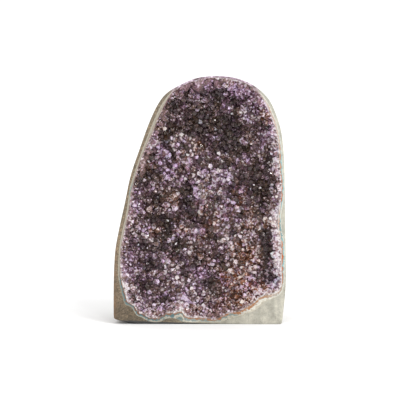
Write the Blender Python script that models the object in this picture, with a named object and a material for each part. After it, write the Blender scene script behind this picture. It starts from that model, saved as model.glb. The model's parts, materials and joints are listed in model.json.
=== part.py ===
"""An amethyst geode that stands on a sawn base.

It is a slab from the wall of a large geode: a basalt rock with a ground outside, a banded
chalcedony lining, and a crust of amethyst crystals in the hollow of the front. The front rim is
ground flat, so all three layers show there as bands.

Metres, +Z up. The origin is the middle of the base, on the surface that it stands on. The crystals
face -Y.
"""

import math
import random

import bmesh
import bpy
import numpy as np
from mathutils import Euler, Matrix, Vector, noise

MM = 0.001

# Driving dimensions
HEIGHT = 200 * MM
BASE_DEPTH = 84 * MM
FRONT_LEAN = math.radians(4)
TOP_DEPTH_SHARE = 0.6
GAP = 0.3 * MM

# The silhouette from the front in millimetres, (x, z), from the right end of the base over the top
# to the left end
SILHOUETTE = (
    (66.0, 0.0), (66.9, 2.0), (67.9, 10.5), (69.4, 25.0), (70.0, 40.0), (69.6, 68.0),
    (69.0, 108.0), (68.4, 133.0), (66.3, 154.0), (62.4, 168.0), (56.5, 180.8), (47.8, 189.9),
    (36.5, 196.4), (24.0, 199.8), (11.0, 200.4), (-2.8, 198.7), (-15.8, 193.2), (-26.6, 186.6),
    (-33.8, 177.6), (-40.5, 162.4), (-48.2, 141.0), (-55.4, 120.4), (-60.4, 98.6), (-65.4, 74.6),
    (-68.4, 58.0), (-69.6, 36.0), (-69.8, 12.0), (-69.6, 7.0), (-68.4, 3.4), (-65.6, 1.0),
    (-62.0, 0.0),
)

# Where the rock ends and its lining begins on the ground rim, in millimetres: x, z and the width of
# the lining there, anticlockwise from the lower right
RIM = (
    (68.0, 29.6, 1.8), (68.6, 36.5, 1.6), (68.5, 44.0, 2.2), (68.5, 51.0, 2.4),
    (68.5, 59.0, 2.3), (68.2, 66.0, 2.3), (67.2, 70.1, 2.3), (66.4, 75.3, 2.1),
    (66.0, 81.0, 2.4), (66.1, 89.1, 1.8), (67.2, 96.0, 1.9), (67.8, 103.0, 1.9),
    (67.6, 115.0, 1.5), (67.2, 123.1, 1.7), (66.9, 132.0, 2.2), (66.3, 142.6, 1.8),
    (65.0, 151.5, 1.8), (62.6, 161.6, 1.8), (59.0, 171.1, 1.8), (54.0, 180.0, 1.8),
    (47.4, 187.2, 1.5), (39.2, 193.0, 1.1), (30.8, 196.6, 1.0), (21.3, 198.6, 1.0),
    (11.4, 199.0, 1.0), (2.0, 198.1, 1.0), (-8.2, 194.9, 1.0), (-16.2, 191.1, 1.0),
    (-22.0, 187.4, 1.2), (-26.8, 183.0, 1.9), (-31.4, 176.4, 2.2), (-35.6, 168.0, 2.1),
    (-40.0, 157.0, 1.9), (-44.9, 144.0, 1.9), (-49.3, 131.0, 1.9), (-53.3, 118.8, 1.8),
    (-55.9, 110.0, 1.8), (-57.8, 99.6, 1.8), (-60.0, 87.5, 1.8), (-62.2, 76.1, 1.9),
    (-64.6, 64.8, 1.9), (-65.8, 55.1, 1.9), (-66.0, 40.5, 2.0), (-64.7, 30.8, 2.3),
    (-62.9, 23.5, 2.6), (-61.6, 18.2, 2.8), (-60.0, 15.6, 2.8), (-57.1, 14.5, 2.4),
    (-54.5, 12.4, 2.4), (-52.8, 9.6, 2.4), (-50.7, 6.9, 2.6), (-47.4, 5.6, 2.8),
    (-43.7, 3.6, 2.6), (-39.7, 2.1, 2.8), (-34.4, 1.7, 3.4), (-30.8, 2.4, 3.7),
    (-27.9, 4.2, 3.9), (-23.9, 5.1, 3.6), (-20.7, 4.9, 4.2), (-17.8, 4.0, 6.2), (-15.0, 2.4, 6.7),
    (-11.7, 1.7, 4.4), (-6.9, 1.5, 3.7), (-0.4, 1.5, 3.7), (6.1, 1.5, 3.1), (11.7, 1.4, 2.1),
    (15.4, 1.6, 2.9), (19.0, 2.4, 3.9), (24.3, 4.1, 4.9), (29.6, 5.3, 4.5), (33.6, 6.3, 4.1),
    (37.7, 8.2, 4.5), (42.9, 10.2, 5.3), (47.0, 12.6, 5.5), (50.0, 15.0, 5.7), (52.1, 17.3, 5.2),
    (54.9, 19.2, 4.5), (59.5, 20.9, 3.5), (63.4, 22.9, 2.7), (66.4, 25.7, 2.1),
)

# The edge between the ground rim and the sides is rounder on the left than elsewhere
LEFT_EDGE_RADIUS = 1.2 * MM
EDGE_RADIUS = 0.7 * MM
EDGE_STEPS = 3

# The back is rounded like the outside of the large geode, with lumps and small dents
BACK_STEPS = 9
BACK_ROUNDNESS = 2.5
BACK_HEIGHT_LOSS = 0.62
REAR_SHARE = 0.985
LUMP_SIZE = 38 * MM
LUMP_RISE = 5 * MM
DENT_SIZE = 17 * MM
DENT_RISE = 1.2 * MM

# Points round each ring of a lofted piece: along its body and along its base
BODY_POINTS = 56
BASE_POINTS = 18

# The hollow: its middle (x, z), the depth of its bowls, and the section they share, as pairs of
# a share of the rim's width and of the depth
HOLLOW_MIDDLE = np.array((1 * MM, 92 * MM))
ROCK_BOWL_DEPTH = 28 * MM
LINING_THICKNESS = 3.6 * MM
BOWL_SECTION = ((0.985, 0.24), (0.93, 0.48), (0.8, 0.72), (0.5, 0.93))

# The crystal floor is a dish inside a narrow ground margin. Its mounds (positive) and pockets
# (negative) are x, z, radius and rise in millimetres.
DISH_DEPTH = 14.5 * MM
DISH_POWER = 6.5
MARGIN = 1 * MM
DISH_SHARES = (0.985, 0.95, 0.88, 0.76, 0.58, 0.36)
ALLOWANCE = 1 * MM
MOUNDS = (
    (28, 155, 26, -4.0), (-22, 163, 18, -2.5), (4, 116, 17, 4.0), (-34, 118, 15, 2.5),
    (32, 92, 15, 3.5), (-30, 72, 20, -3.0), (8, 66, 16, 2.0), (38, 52, 18, 3.0),
    (-40, 34, 15, -2.0), (-14, 26, 14, 4.0), (55, 37, 10, -3.0), (50, 128, 14, -2.0),
)

# Crystals: six-sided points on a staggered grid, each leaning a little its own way
CRYSTAL_PITCH = 10.8 * MM
CRYSTAL_JITTER = 0.2
CRYSTAL_RADIUS = 7.1 * MM
CRYSTAL_RISE = 7 * MM
CRYSTAL_ROOT = 5 * MM
CRYSTAL_SIZES = (0.85, 1.15)
CRYSTAL_TILT = math.radians(14)
CRYSTAL_SIDES = 6
CRYSTAL_SEED = 16
FIELD_SHARE = 1.02

ROCK_COLOUR = (0.29, 0.25, 0.19, 1)
LINING_COLOUR = (0.52, 0.50, 0.45, 1)
CRYSTAL_COLOUR = (0.17, 0.10, 0.19, 1)


def clear_scene():
    """Removes what the startup scene holds."""
    for thing in list(bpy.data.objects):
        bpy.data.objects.remove(thing)


def material(name, colour, roughness):
    made = bpy.data.materials.new(name)
    made.use_nodes = True
    shader = made.node_tree.nodes["Principled BSDF"]
    shader.inputs["Base Color"].default_value = colour
    shader.inputs["Roughness"].default_value = roughness
    shader.inputs["Metallic"].default_value = 0
    return made


def smooth_run(points, steps=24):
    """Rows on a Catmull-Rom curve from the first point to the last."""
    points = np.asarray(points, float)
    padded = np.vstack([2 * points[0] - points[1], points, 2 * points[-1] - points[-2]])
    share = (np.arange(steps) / steps)[:, None]
    rows = []
    for before, start, end, after in zip(padded, padded[1:], padded[2:], padded[3:]):
        rows.append(
            start
            + 0.5 * (end - before) * share
            + (before - 2.5 * start + 2 * end - 0.5 * after) * share**2
            + (1.5 * start - 0.5 * before - 1.5 * end + 0.5 * after) * share**3
        )
    return np.vstack([*rows, points[-1]])


def spaced(rows, count):
    """That many points along a smooth run of rows, its ends included. They lie closer together
    where its own points were close."""
    steps = np.linalg.norm(np.diff(rows, axis=0), axis=1)
    along = np.concatenate([[0], np.cumsum(steps / steps.sum() + 0.7 / len(steps))])
    wanted = np.linspace(0, along[-1], count)
    return np.column_stack([np.interp(wanted, along, column) for column in rows.T])


def smoothstep(low, high, value):
    share = np.clip((value - low) / (high - low), 0, 1)
    return share * share * (3 - 2 * share)


BODY = spaced(smooth_run(SILHOUETTE) * MM, BODY_POINTS)
BODY[[0, -1], 1] = 0


def with_base(body):
    """A closed ring of (x, z) points: the body's, then some along the base back to the first."""
    share = (np.arange(1, BASE_POINTS + 1) / (BASE_POINTS + 1))[:, None]
    return np.vstack([body, body[-1] + share * (body[0] - body[-1])])


def at_depth(ring, depth):
    """(x, y, z) points of a ring of (x, z) points, at one depth behind the front or one for each."""
    return np.column_stack([ring[:, 0], np.broadcast_to(depth, len(ring)), ring[:, 1]])


def edge_ring(turn):
    """The ring on the rounded front edge where it has turned this far from the rim to the sides."""
    ring = with_base(BODY)
    tangent = np.roll(ring, -1, axis=0) - np.roll(ring, 1, axis=0)
    outward = np.column_stack([tangent[:, 1], -tangent[:, 0]])
    outward /= np.linalg.norm(outward, axis=1)[:, None]
    on_left = smoothstep(-15 * MM, -35 * MM, ring[:, 0]) * smoothstep(0, 12 * MM, ring[:, 1])
    radius = EDGE_RADIUS + (LEFT_EDGE_RADIUS - EDGE_RADIUS) * on_left
    inset = radius * (1 - math.sin(turn))
    return at_depth(ring - outward * inset[:, None], radius * (1 - math.cos(turn)))


def back_ring(share):
    """The ring of the back at this share of the way from the widest section to the rear."""
    width = (1 - share**BACK_ROUNDNESS) ** 0.5
    height = 1 - BACK_HEIGHT_LOSS * (1 - width)
    ring = with_base(BODY * (width, height))
    depth_share = 1 - (1 - TOP_DEPTH_SHARE) * np.clip(ring[:, 1] / HEIGHT, 0, 1) ** 1.4
    depth = LEFT_EDGE_RADIUS + share * (BASE_DEPTH * depth_share - LEFT_EDGE_RADIUS)
    return weathered(at_depth(ring, depth), smoothstep(0, 0.35, share))


def weathered(points, amount):
    """Points of the back moved in and out by noise. Those on the base stay in its plane."""
    middle = np.array((0, 0.35 * BASE_DEPTH, 0.4 * HEIGHT))
    moved = points.copy()
    for i, point in enumerate(points):
        place = Vector(point)
        lump = noise.noise(place / LUMP_SIZE) * LUMP_RISE
        dent = noise.noise(place / DENT_SIZE) * DENT_RISE
        away = (point - middle) / np.linalg.norm(point - middle)
        moved[i] += away * (lump + dent - 0.35 * LUMP_RISE) * amount
    moved[points[:, 2] == 0, 2] = 0
    return moved


def rim_table():
    """The rim curve as seen from the middle of the hollow: angle, distance, lining width and slant."""
    closed = RIM + RIM[:1]
    curve = smooth_run(closed) * MM
    offset = curve[:-1, :2] - HOLLOW_MIDDLE
    angle = np.arctan2(offset[:, 1], offset[:, 0])
    rank = np.argsort(angle)
    angle, distance = angle[rank], np.hypot(*offset.T)[rank]
    slope = np.gradient(distance, angle) / distance
    return angle, distance, curve[:-1, 2][rank], np.sqrt(1 + np.clip(slope, -1, 1) ** 2)


RIM_TABLE = rim_table()


def angles_of(points):
    offset = np.atleast_2d(points) - HOLLOW_MIDDLE
    return np.arctan2(offset[:, 1], offset[:, 0])


def rim_distance(angles, inset=0.0, linings=0):
    """How far the rim curve is from the middle of the hollow in these directions, less an inset and
    a number of lining widths, both measured across the curve."""
    table_angle, *columns = RIM_TABLE
    distance, width, slant = (
        np.interp(angles, table_angle, column, period=2 * math.pi) for column in columns
    )
    return distance - (inset + linings * width) * slant


def rim_ring(inset=0.0, linings=0):
    """The (x, z) ring at that inset, with one point for each point of the outer rings."""
    angles = angles_of(edge_ring(0)[:, [0, 2]])
    distance = rim_distance(angles, inset, linings)[:, None]
    return HOLLOW_MIDDLE + distance * np.column_stack([np.cos(angles), np.sin(angles)])


def bowl_rings(ring, depth):
    """Rings from a rim ring down a bowl of this depth, and the bowl's lowest point."""
    rings = [
        at_depth(HOLLOW_MIDDLE + width * (ring - HOLLOW_MIDDLE), share * depth)
        for width, share in BOWL_SECTION
    ]
    return rings, np.array((HOLLOW_MIDDLE[0], depth, HOLLOW_MIDDLE[1]))


def dish_depth(points):
    """How far behind the ground rim the crystal floor lies at (x, z) points."""
    points = np.atleast_2d(points)
    reach = rim_distance(angles_of(points), MARGIN, 1)
    share = np.clip(np.hypot(*(points - HOLLOW_MIDDLE).T) / reach, 0, 1)
    depth = DISH_DEPTH * (1 - share**DISH_POWER)
    for x, z, radius, rise in MOUNDS:
        square = ((points - (x * MM, z * MM)) ** 2).sum(axis=1) / (radius * MM) ** 2
        depth = depth - rise * MM * np.exp(-square) * (1 - share**4)
    return depth


def lofted(name, first_pole, rings, last_pole, finish):
    """A closed solid through rings of equal length, closed at each end by a fan to a point."""
    mesh = bmesh.new()
    poles = [mesh.verts.new(pole) for pole in (first_pole, last_pole)]
    loops = [[mesh.verts.new(point) for point in ring] for ring in rings]
    for near, far in zip(loops, loops[1:]):
        for i in range(len(near)):
            mesh.faces.new((near[i - 1], near[i], far[i], far[i - 1]))
    for pole, loop in zip(poles, (loops[0], loops[-1])):
        for i in range(len(loop)):
            mesh.faces.new((pole, loop[i - 1], loop[i]))
    bmesh.ops.recalc_face_normals(mesh, faces=mesh.faces)
    return added(name, mesh, finish)


def added(name, mesh, finish):
    """A new object of the geode that holds this bmesh."""
    data = bpy.data.meshes.new(name)
    mesh.to_mesh(data)
    mesh.free()
    data.materials.append(finish)
    thing = bpy.data.objects.new(name, data)
    GEODE.objects.link(thing)
    return thing


def make_rock():
    """The basalt: its back, sides and sawn base, the ground rim, and the bowl that the rest fills."""
    turns = np.linspace(0, math.pi / 2, EDGE_STEPS + 1)
    backs = np.linspace(0, REAR_SHARE, BACK_STEPS)[1:]
    rings = [back_ring(share) for share in backs[::-1]]
    rear = rings[0].mean(axis=0)
    rings += [edge_ring(turn) for turn in turns[::-1]]
    rim = rim_ring()
    bowl, deepest = bowl_rings(rim, ROCK_BOWL_DEPTH)
    finish = material("basalt", ROCK_COLOUR, 0.6)
    return lofted("basalt_rock", rear, [*rings, at_depth(rim, 0), *bowl], deepest, finish)


def make_lining():
    """The banded chalcedony between the rock and the crystals."""
    outer, inner = rim_ring(GAP), rim_ring(0, 1)
    outside, behind = bowl_rings(outer, ROCK_BOWL_DEPTH - GAP)
    inside, front = bowl_rings(inner, ROCK_BOWL_DEPTH - GAP - LINING_THICKNESS)
    rings = [*outside[::-1], at_depth(outer, 0), at_depth(inner, 0), *inside]
    return lofted("agate_lining", behind, rings, front, material("agate", LINING_COLOUR, 0.3))


def make_crust_floor(finish):
    """The quartz under the crystals, larger all round than the hollow that it fills, with the dish
    in its front."""
    edge = rim_ring(GAP - ALLOWANCE, 1)
    margin = rim_ring(MARGIN, 1)
    floor = []
    for share in DISH_SHARES:
        ring = HOLLOW_MIDDLE + share * (margin - HOLLOW_MIDDLE)
        floor.append(at_depth(ring, dish_depth(ring)))
    middle = (HOLLOW_MIDDLE[0], dish_depth(HOLLOW_MIDDLE)[0], HOLLOW_MIDDLE[1])
    behind = (HOLLOW_MIDDLE[0], ROCK_BOWL_DEPTH, HOLLOW_MIDDLE[1])
    rings = [
        at_depth(edge, ROCK_BOWL_DEPTH),
        at_depth(edge, -ALLOWANCE),
        at_depth(margin, -ALLOWANCE),
        *floor,
    ]
    return lofted("amethyst_crust", behind, rings, middle, finish)


def make_mould(finish):
    """The space that the lining leaves for the crust, closed by the plane of the ground rim."""
    edge = rim_ring(GAP, 1)
    bowl, deepest = bowl_rings(edge, ROCK_BOWL_DEPTH - 2 * GAP - LINING_THICKNESS)
    middle = (HOLLOW_MIDDLE[0], 0, HOLLOW_MIDDLE[1])
    return lofted("mould", deepest, [*bowl[::-1], at_depth(edge, 0)], middle, finish)


def crystal_places(rng):
    """(x, z) of each crystal."""
    row_height = CRYSTAL_PITCH * math.sqrt(3) / 2
    rows = math.ceil(HEIGHT / row_height)
    reach = rows // 2 + 1
    for row in range(rows):
        for column in range(-reach, reach + 1):
            shift = [rng.uniform(-1, 1) * CRYSTAL_JITTER * CRYSTAL_PITCH for _ in range(2)]
            x = (column + 0.5 * (row % 2)) * CRYSTAL_PITCH + shift[0]
            z = row * row_height + shift[1]
            point = np.array((x, z))
            limit = rim_distance(angles_of(point), MARGIN, 1)[0] * FIELD_SHARE
            if np.hypot(*(point - HOLLOW_MIDDLE)) < limit:
                yield x, z


def floor_normal(x, z):
    """The direction out of the crystal floor, from its slope."""
    step = 1.5 * MM
    across = dish_depth((x + step, z))[0] - dish_depth((x - step, z))[0]
    up = dish_depth((x, z + step))[0] - dish_depth((x, z - step))[0]
    return Vector((across, -2 * step, up)).normalized()


def add_crystal(mesh, x, z, rng):
    """One six-sided point rooted in the floor, near upright on it."""
    size = rng.uniform(*CRYSTAL_SIZES)
    length = CRYSTAL_RISE * size + CRYSTAL_ROOT
    lean = Euler((rng.uniform(-1, 1) * CRYSTAL_TILT, rng.uniform(-1, 1) * CRYSTAL_TILT, 0))
    turn = Matrix.Rotation(rng.uniform(0, math.tau), 4, "Z")
    upright = floor_normal(x, z).to_track_quat("Z", "Y").to_matrix().to_4x4()
    place = Matrix.Translation((x, dish_depth((x, z))[0], z))
    root = Matrix.Translation((0, 0, length / 2 - CRYSTAL_ROOT))
    bmesh.ops.create_cone(
        mesh,
        cap_ends=True,
        segments=CRYSTAL_SIDES,
        radius1=CRYSTAL_RADIUS * length / CRYSTAL_RISE,
        radius2=0,
        depth=length,
        matrix=place @ upright @ lean.to_matrix().to_4x4() @ turn @ root,
    )


def cut_with(thing, cutter, operation, overlapping=False):
    """Adds a Boolean to the thing and hides its cutter, whose own pieces may overlap, from renders."""
    cut = thing.modifiers.new(cutter.name, "BOOLEAN")
    cut.operation = operation
    cut.object = cutter
    cut.use_self = overlapping
    GEODE.objects.unlink(cutter)
    CUTTERS.objects.link(cutter)
    cutter.hide_render = True
    cutter.display_type = "WIRE"


def make_crust():
    """The crust: its floor with the crystals fused to it, ended by the lining and the ground rim."""
    finish = material("amethyst", CRYSTAL_COLOUR, 0.15)
    crust = make_crust_floor(finish)
    rng = random.Random(CRYSTAL_SEED)
    mesh = bmesh.new()
    for x, z in crystal_places(rng):
        add_crystal(mesh, x, z, rng)
    cut_with(crust, added("crystals", mesh, finish), "UNION", overlapping=True)
    cut_with(crust, make_mould(finish), "INTERSECT")
    return crust


def stand_at_origin(things, rock):
    """Leans the pieces back and moves them so that the origin is the middle of the base."""
    lean = Matrix.Shear("XY", 4, (0, math.tan(FRONT_LEAN)))
    for thing in things:
        thing.data.transform(lean)
    corners = np.array([vertex.co for vertex in rock.data.vertices])
    middle = (corners.min(axis=0) + corners.max(axis=0)) / 2
    for thing in things:
        thing.data.transform(Matrix.Translation((-middle[0], -middle[1], 0)))


clear_scene()
GEODE = bpy.data.collections.new("amethyst_geode")
CUTTERS = bpy.data.collections.new("cutters")
for collection in (GEODE, CUTTERS):
    bpy.context.scene.collection.children.link(collection)
rock = make_rock()
make_lining()
make_crust()
stand_at_origin([*GEODE.objects, *CUTTERS.objects], rock)
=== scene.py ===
"""An amethyst geode on its sawn base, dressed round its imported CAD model.

Three pieces stand for the three CAD nodes: the basalt rock, the banded agate that lines it, and the
crust of amethyst crystals. Each is made flat first, with its ground rim in the plane y = 0 and the
crystals facing -Y, and is then leaned back and set on the CAD model's place.
"""

import itertools
import math
import random

import bmesh
import bpy
import numpy as np
from mathutils import Matrix, Vector, noise
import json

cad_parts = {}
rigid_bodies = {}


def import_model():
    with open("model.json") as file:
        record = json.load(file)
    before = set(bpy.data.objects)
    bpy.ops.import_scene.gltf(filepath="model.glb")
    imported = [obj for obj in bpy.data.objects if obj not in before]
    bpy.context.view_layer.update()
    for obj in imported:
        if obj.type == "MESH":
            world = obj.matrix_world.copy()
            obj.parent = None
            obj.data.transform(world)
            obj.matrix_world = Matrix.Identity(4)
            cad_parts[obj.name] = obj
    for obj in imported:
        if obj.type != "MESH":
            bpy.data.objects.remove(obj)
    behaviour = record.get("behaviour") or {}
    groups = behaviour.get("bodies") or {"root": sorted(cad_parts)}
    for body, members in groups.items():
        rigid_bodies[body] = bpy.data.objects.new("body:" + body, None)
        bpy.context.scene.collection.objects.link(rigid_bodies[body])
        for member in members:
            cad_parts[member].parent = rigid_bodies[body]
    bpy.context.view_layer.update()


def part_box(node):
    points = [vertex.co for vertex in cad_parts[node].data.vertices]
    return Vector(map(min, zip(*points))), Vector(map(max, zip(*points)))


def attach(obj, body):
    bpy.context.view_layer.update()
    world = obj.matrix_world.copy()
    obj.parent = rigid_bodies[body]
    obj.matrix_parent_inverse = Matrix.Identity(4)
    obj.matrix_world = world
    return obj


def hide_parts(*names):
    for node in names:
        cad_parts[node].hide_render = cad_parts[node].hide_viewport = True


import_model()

# The basalt rock
#
# A slab from the wall of a large geode. Its rim and the edge of its sides are ground smooth, its
# base is sawn flat so that it stands, and its back keeps the lumpy, pitted skin of the outside.

MM = 0.001
HEIGHT = 200 * MM
BASE_DEPTH = 84 * MM
FRONT_LEAN = math.radians(4)
TOP_DEPTH_SHARE = 0.6

# The silhouette from the front in millimetres, (x, z), from the right end of the base over the top
# to the left end
SILHOUETTE = (
    (66.0, 0.0), (66.9, 2.0), (67.9, 10.5), (69.4, 25.0), (70.0, 40.0), (69.6, 68.0),
    (69.0, 108.0), (68.4, 133.0), (66.3, 154.0), (62.4, 168.0), (56.5, 180.8), (47.8, 189.9),
    (36.5, 196.4), (24.0, 199.8), (11.0, 200.4), (-2.8, 198.7), (-15.8, 193.2), (-26.6, 186.6),
    (-33.8, 177.6), (-41.0, 162.4), (-48.8, 141.0), (-55.8, 120.4), (-60.5, 98.6), (-65.8, 74.6),
    (-68.6, 58.0), (-69.7, 36.0), (-69.8, 12.0), (-69.75, 8.0), (-69.6, 5.7), (-68.9, 4.3),
    (-66.5, 3.3), (-62.5, 1.9), (-57.5, 0.8), (-52.0, 0.0),
)

# Where the rock ends and its lining begins on the ground rim, in millimetres: x, z and the width of
# the lining there, anticlockwise from the lower right
RIM = (
    (68.0, 29.6, 1.8), (68.8, 36.5, 2.0), (69.0, 44.0, 2.6), (69.0, 51.0, 2.7),
    (69.0, 59.0, 2.6), (68.6, 66.0, 2.5), (67.9, 70.1, 2.5), (66.7, 75.3, 2.3),
    (66.1, 81.0, 2.4), (66.1, 89.1, 1.8), (67.4, 96.0, 1.9), (68.1, 103.0, 2.0),
    (68.2, 110.0, 1.9), (67.8, 117.0, 1.7), (67.2, 123.1, 1.7), (66.9, 132.0, 2.2),
    (66.3, 142.6, 1.8), (65.0, 151.5, 1.8), (62.6, 161.6, 1.8), (59.0, 171.1, 1.8), (54.4, 180.3, 1.6),
    (48.0, 188.0, 0.8), (39.8, 193.8, 0.3), (30.8, 197.2, 0.3), (21.3, 199.1, 0.3),
    (11.4, 199.5, 0.3), (2.0, 198.7, 0.3), (-8.2, 195.6, 0.3), (-16.2, 191.8, 0.3),
    (-22.3, 187.9, 0.6), (-26.9, 183.2, 1.6), (-31.4, 176.4, 2.3), (-35.6, 168.0, 2.4),
    (-40.1, 157.0, 2.4), (-45.3, 144.0, 1.8), (-50.0, 131.0, 1.3), (-53.9, 118.8, 1.6),
    (-56.6, 110.0, 1.9), (-58.0, 99.6, 1.6), (-59.9, 87.5, 1.4), (-62.6, 76.1, 1.6),
    (-64.8, 64.8, 1.5), (-65.7, 55.1, 1.3), (-66.0, 40.5, 1.8), (-64.7, 30.8, 2.3),
    (-62.9, 23.5, 2.6), (-61.6, 18.2, 2.8), (-60.0, 15.6, 2.8), (-57.1, 14.5, 2.4),
    (-54.5, 12.4, 2.4), (-52.8, 9.6, 2.4), (-50.7, 6.9, 2.6), (-47.4, 5.6, 2.8),
    (-43.7, 3.6, 2.6), (-39.7, 2.1, 2.8), (-34.4, 1.7, 3.4), (-30.8, 2.4, 3.7),
    (-27.9, 4.2, 3.9), (-23.9, 5.1, 3.6), (-20.7, 4.9, 4.2), (-17.8, 4.0, 6.2), (-15.0, 2.4, 6.7),
    (-11.7, 1.7, 4.4), (-6.9, 1.5, 3.7), (-0.4, 1.5, 3.7), (6.1, 1.5, 3.1), (11.7, 1.4, 2.1),
    (15.4, 1.6, 2.9), (19.0, 2.4, 3.9), (24.3, 4.1, 4.9), (29.6, 5.3, 4.5), (33.6, 6.3, 4.1),
    (37.7, 8.2, 4.5), (42.9, 10.2, 5.3), (47.0, 12.6, 5.5), (50.0, 15.0, 5.7), (52.1, 17.3, 5.2),
    (54.9, 19.2, 4.5), (59.5, 20.9, 3.5), (63.4, 22.9, 2.7), (66.4, 25.7, 2.1),
)

LEFT_EDGE_RADIUS = 1.2 * MM
EDGE_RADIUS = 0.7 * MM

# How high the base's front edge is rounded away along x, in millimetres, and how much deeper
BASE_EDGE = (
    (-70, 0.7), (-66, 0.8), (-63, 1.4), (-58, 2.2), (-50, 2.3), (-42, 2.0), (-34, 1.5), (15, 1.0),
    (40, 0.6),
)
BASE_EDGE_DEPTH = 2.4
BODY_POINTS = 380
BASE_POINTS = 130
EDGE_STEPS = 6
FRONT_ROWS = 5

# The back: how it rounds off, and the lumps, dents and pits of its skin as pairs of size and rise
BACK_STEPS = 70
REAR_ROWS = 7
BACK_ROUNDNESS = 2.5
BACK_HEIGHT_LOSS = 0.62
REAR_SHARE = 0.985
LUMPS = (38 * MM, 5 * MM)
DENTS = (17 * MM, 1.2 * MM)
PITS = ((7 * MM, 0.7 * MM), (4 * MM, 0.35 * MM))

# The place in the rock that its skin moves away from or towards
SKIN_MIDDLE = np.array((0, 0.35 * BASE_DEPTH, 0.4 * HEIGHT))

HOLLOW_MIDDLE = np.array((1 * MM, 92 * MM))
BOWL_DEPTH = 28 * MM
BOWL_SECTION = ((0.985, 0.24), (0.93, 0.48), (0.8, 0.72), (0.5, 0.93))


def smooth_run(points, steps=24):
    """Rows on a Catmull-Rom curve from the first point to the last."""
    points = np.asarray(points, float)
    padded = np.vstack([2 * points[0] - points[1], points, 2 * points[-1] - points[-2]])
    share = (np.arange(steps) / steps)[:, None]
    rows = []
    for before, start, end, after in zip(padded, padded[1:], padded[2:], padded[3:]):
        rows.append(
            start
            + 0.5 * (end - before) * share
            + (before - 2.5 * start + 2 * end - 0.5 * after) * share**2
            + (1.5 * start - 0.5 * before - 1.5 * end + 0.5 * after) * share**3
        )
    return np.vstack([*rows, points[-1]])


def spaced(rows, count):
    """That many points along a smooth run of rows, its ends included."""
    steps = np.linalg.norm(np.diff(rows, axis=0), axis=1)
    along = np.concatenate([[0], np.cumsum(steps / steps.sum() + 0.7 / len(steps))])
    wanted = np.linspace(0, along[-1], count)
    return np.column_stack([np.interp(wanted, along, column) for column in rows.T])


def smoothstep(low, high, value):
    share = np.clip((value - low) / (high - low), 0, 1)
    return share * share * (3 - 2 * share)


BODY = spaced(smooth_run(SILHOUETTE) * MM, BODY_POINTS)
BODY[[0, -1], 1] = 0


def with_base(body):
    """A closed ring of (x, z) points: the body's, then some along the base back to the first."""
    share = (np.arange(1, BASE_POINTS + 1) / (BASE_POINTS + 1))[:, None]
    return np.vstack([body, body[-1] + share * (body[0] - body[-1])])


def at_depth(ring, depth):
    """(x, y, z) points of a ring of (x, z) points, at one depth behind the front or one for each."""
    return np.column_stack([ring[:, 0], np.broadcast_to(depth, len(ring)), ring[:, 1]])


def edge_ring(turn):
    """The ring on the rounded front edge where it has turned this far from the rim to the sides."""
    ring = with_base(BODY)
    tangent = np.roll(ring, -1, axis=0) - np.roll(ring, 1, axis=0)
    outward = np.column_stack([tangent[:, 1], -tangent[:, 0]])
    outward /= np.linalg.norm(outward, axis=1)[:, None]
    on_left = smoothstep(-15 * MM, -35 * MM, ring[:, 0]) * smoothstep(0, 12 * MM, ring[:, 1])
    radius = EDGE_RADIUS + (LEFT_EDGE_RADIUS - EDGE_RADIUS) * on_left
    below = smoothstep(3.5 * MM, 1.5 * MM, ring[:, 1])
    base_radius = np.interp(ring[:, 0] / MM, *np.transpose(BASE_EDGE)) * MM
    radius = radius + (base_radius - radius) * below
    inset = np.column_stack([np.minimum(radius, LEFT_EDGE_RADIUS), radius]) * (1 - math.sin(turn))
    depth = radius * (1 - math.cos(turn)) * (1 + (BASE_EDGE_DEPTH - 1) * below)
    return at_depth(ring - outward * inset, depth)


def weathered(points, amount):
    """Points of the back moved in and out by noise. Those on the base stay in its plane."""
    moved = points.copy()
    for i, point in enumerate(points):
        place = Vector(point)
        rise = -0.35 * LUMPS[1]
        for size, height in (LUMPS, DENTS, *PITS):
            rise += noise.noise(place / size) * height
        away = (point - SKIN_MIDDLE) / np.linalg.norm(point - SKIN_MIDDLE)
        moved[i] += away * rise * amount
    moved[points[:, 2] == 0, 2] = 0
    return moved


def back_ring(share):
    """The ring of the back at this share of the way from the widest section to the rear."""
    width = (1 - share**BACK_ROUNDNESS) ** 0.5
    height = 1 - BACK_HEIGHT_LOSS * (1 - width)
    ring = with_base(BODY * (width, height))
    depth_share = 1 - (1 - TOP_DEPTH_SHARE) * np.clip(ring[:, 1] / HEIGHT, 0, 1) ** 1.4
    depth = LEFT_EDGE_RADIUS + share * (BASE_DEPTH * depth_share - LEFT_EDGE_RADIUS)
    return weathered(at_depth(ring, depth), smoothstep(0, 0.35, share))


def rim_table():
    """The rim curve as seen from the middle of the hollow: angle, distance, lining width and slant."""
    curve = smooth_run(RIM + RIM[:1]) * MM
    offset = curve[:-1, :2] - HOLLOW_MIDDLE
    angle = np.arctan2(offset[:, 1], offset[:, 0])
    rank = np.argsort(angle)
    angle, distance = angle[rank], np.hypot(*offset.T)[rank]
    slope = np.gradient(distance, angle) / distance
    return angle, distance, curve[:-1, 2][rank], np.sqrt(1 + np.clip(slope, -1, 1) ** 2)


RIM_TABLE = rim_table()


def angles_of(points):
    offset = np.atleast_2d(points) - HOLLOW_MIDDLE
    return np.arctan2(offset[:, 1], offset[:, 0])


def rim_distance(angles, inset=0.0, linings=0.0):
    """How far the rim curve is from the middle of the hollow in these directions, less an inset and
    a number of lining widths, both measured across the curve."""
    table_angle, *columns = RIM_TABLE
    distance, width, slant = (
        np.interp(angles, table_angle, column, period=2 * math.pi) for column in columns
    )
    return distance - (inset + linings * width) * slant


def inward_of_rim(points, linings=1):
    """How far inside the rim curve (x, z) points lie, less a number of lining widths."""
    return rim_distance(angles_of(points), 0, linings) - np.hypot(*(points - HOLLOW_MIDDLE).T)


RING_ANGLES = angles_of(edge_ring(0)[:, [0, 2]])


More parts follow.
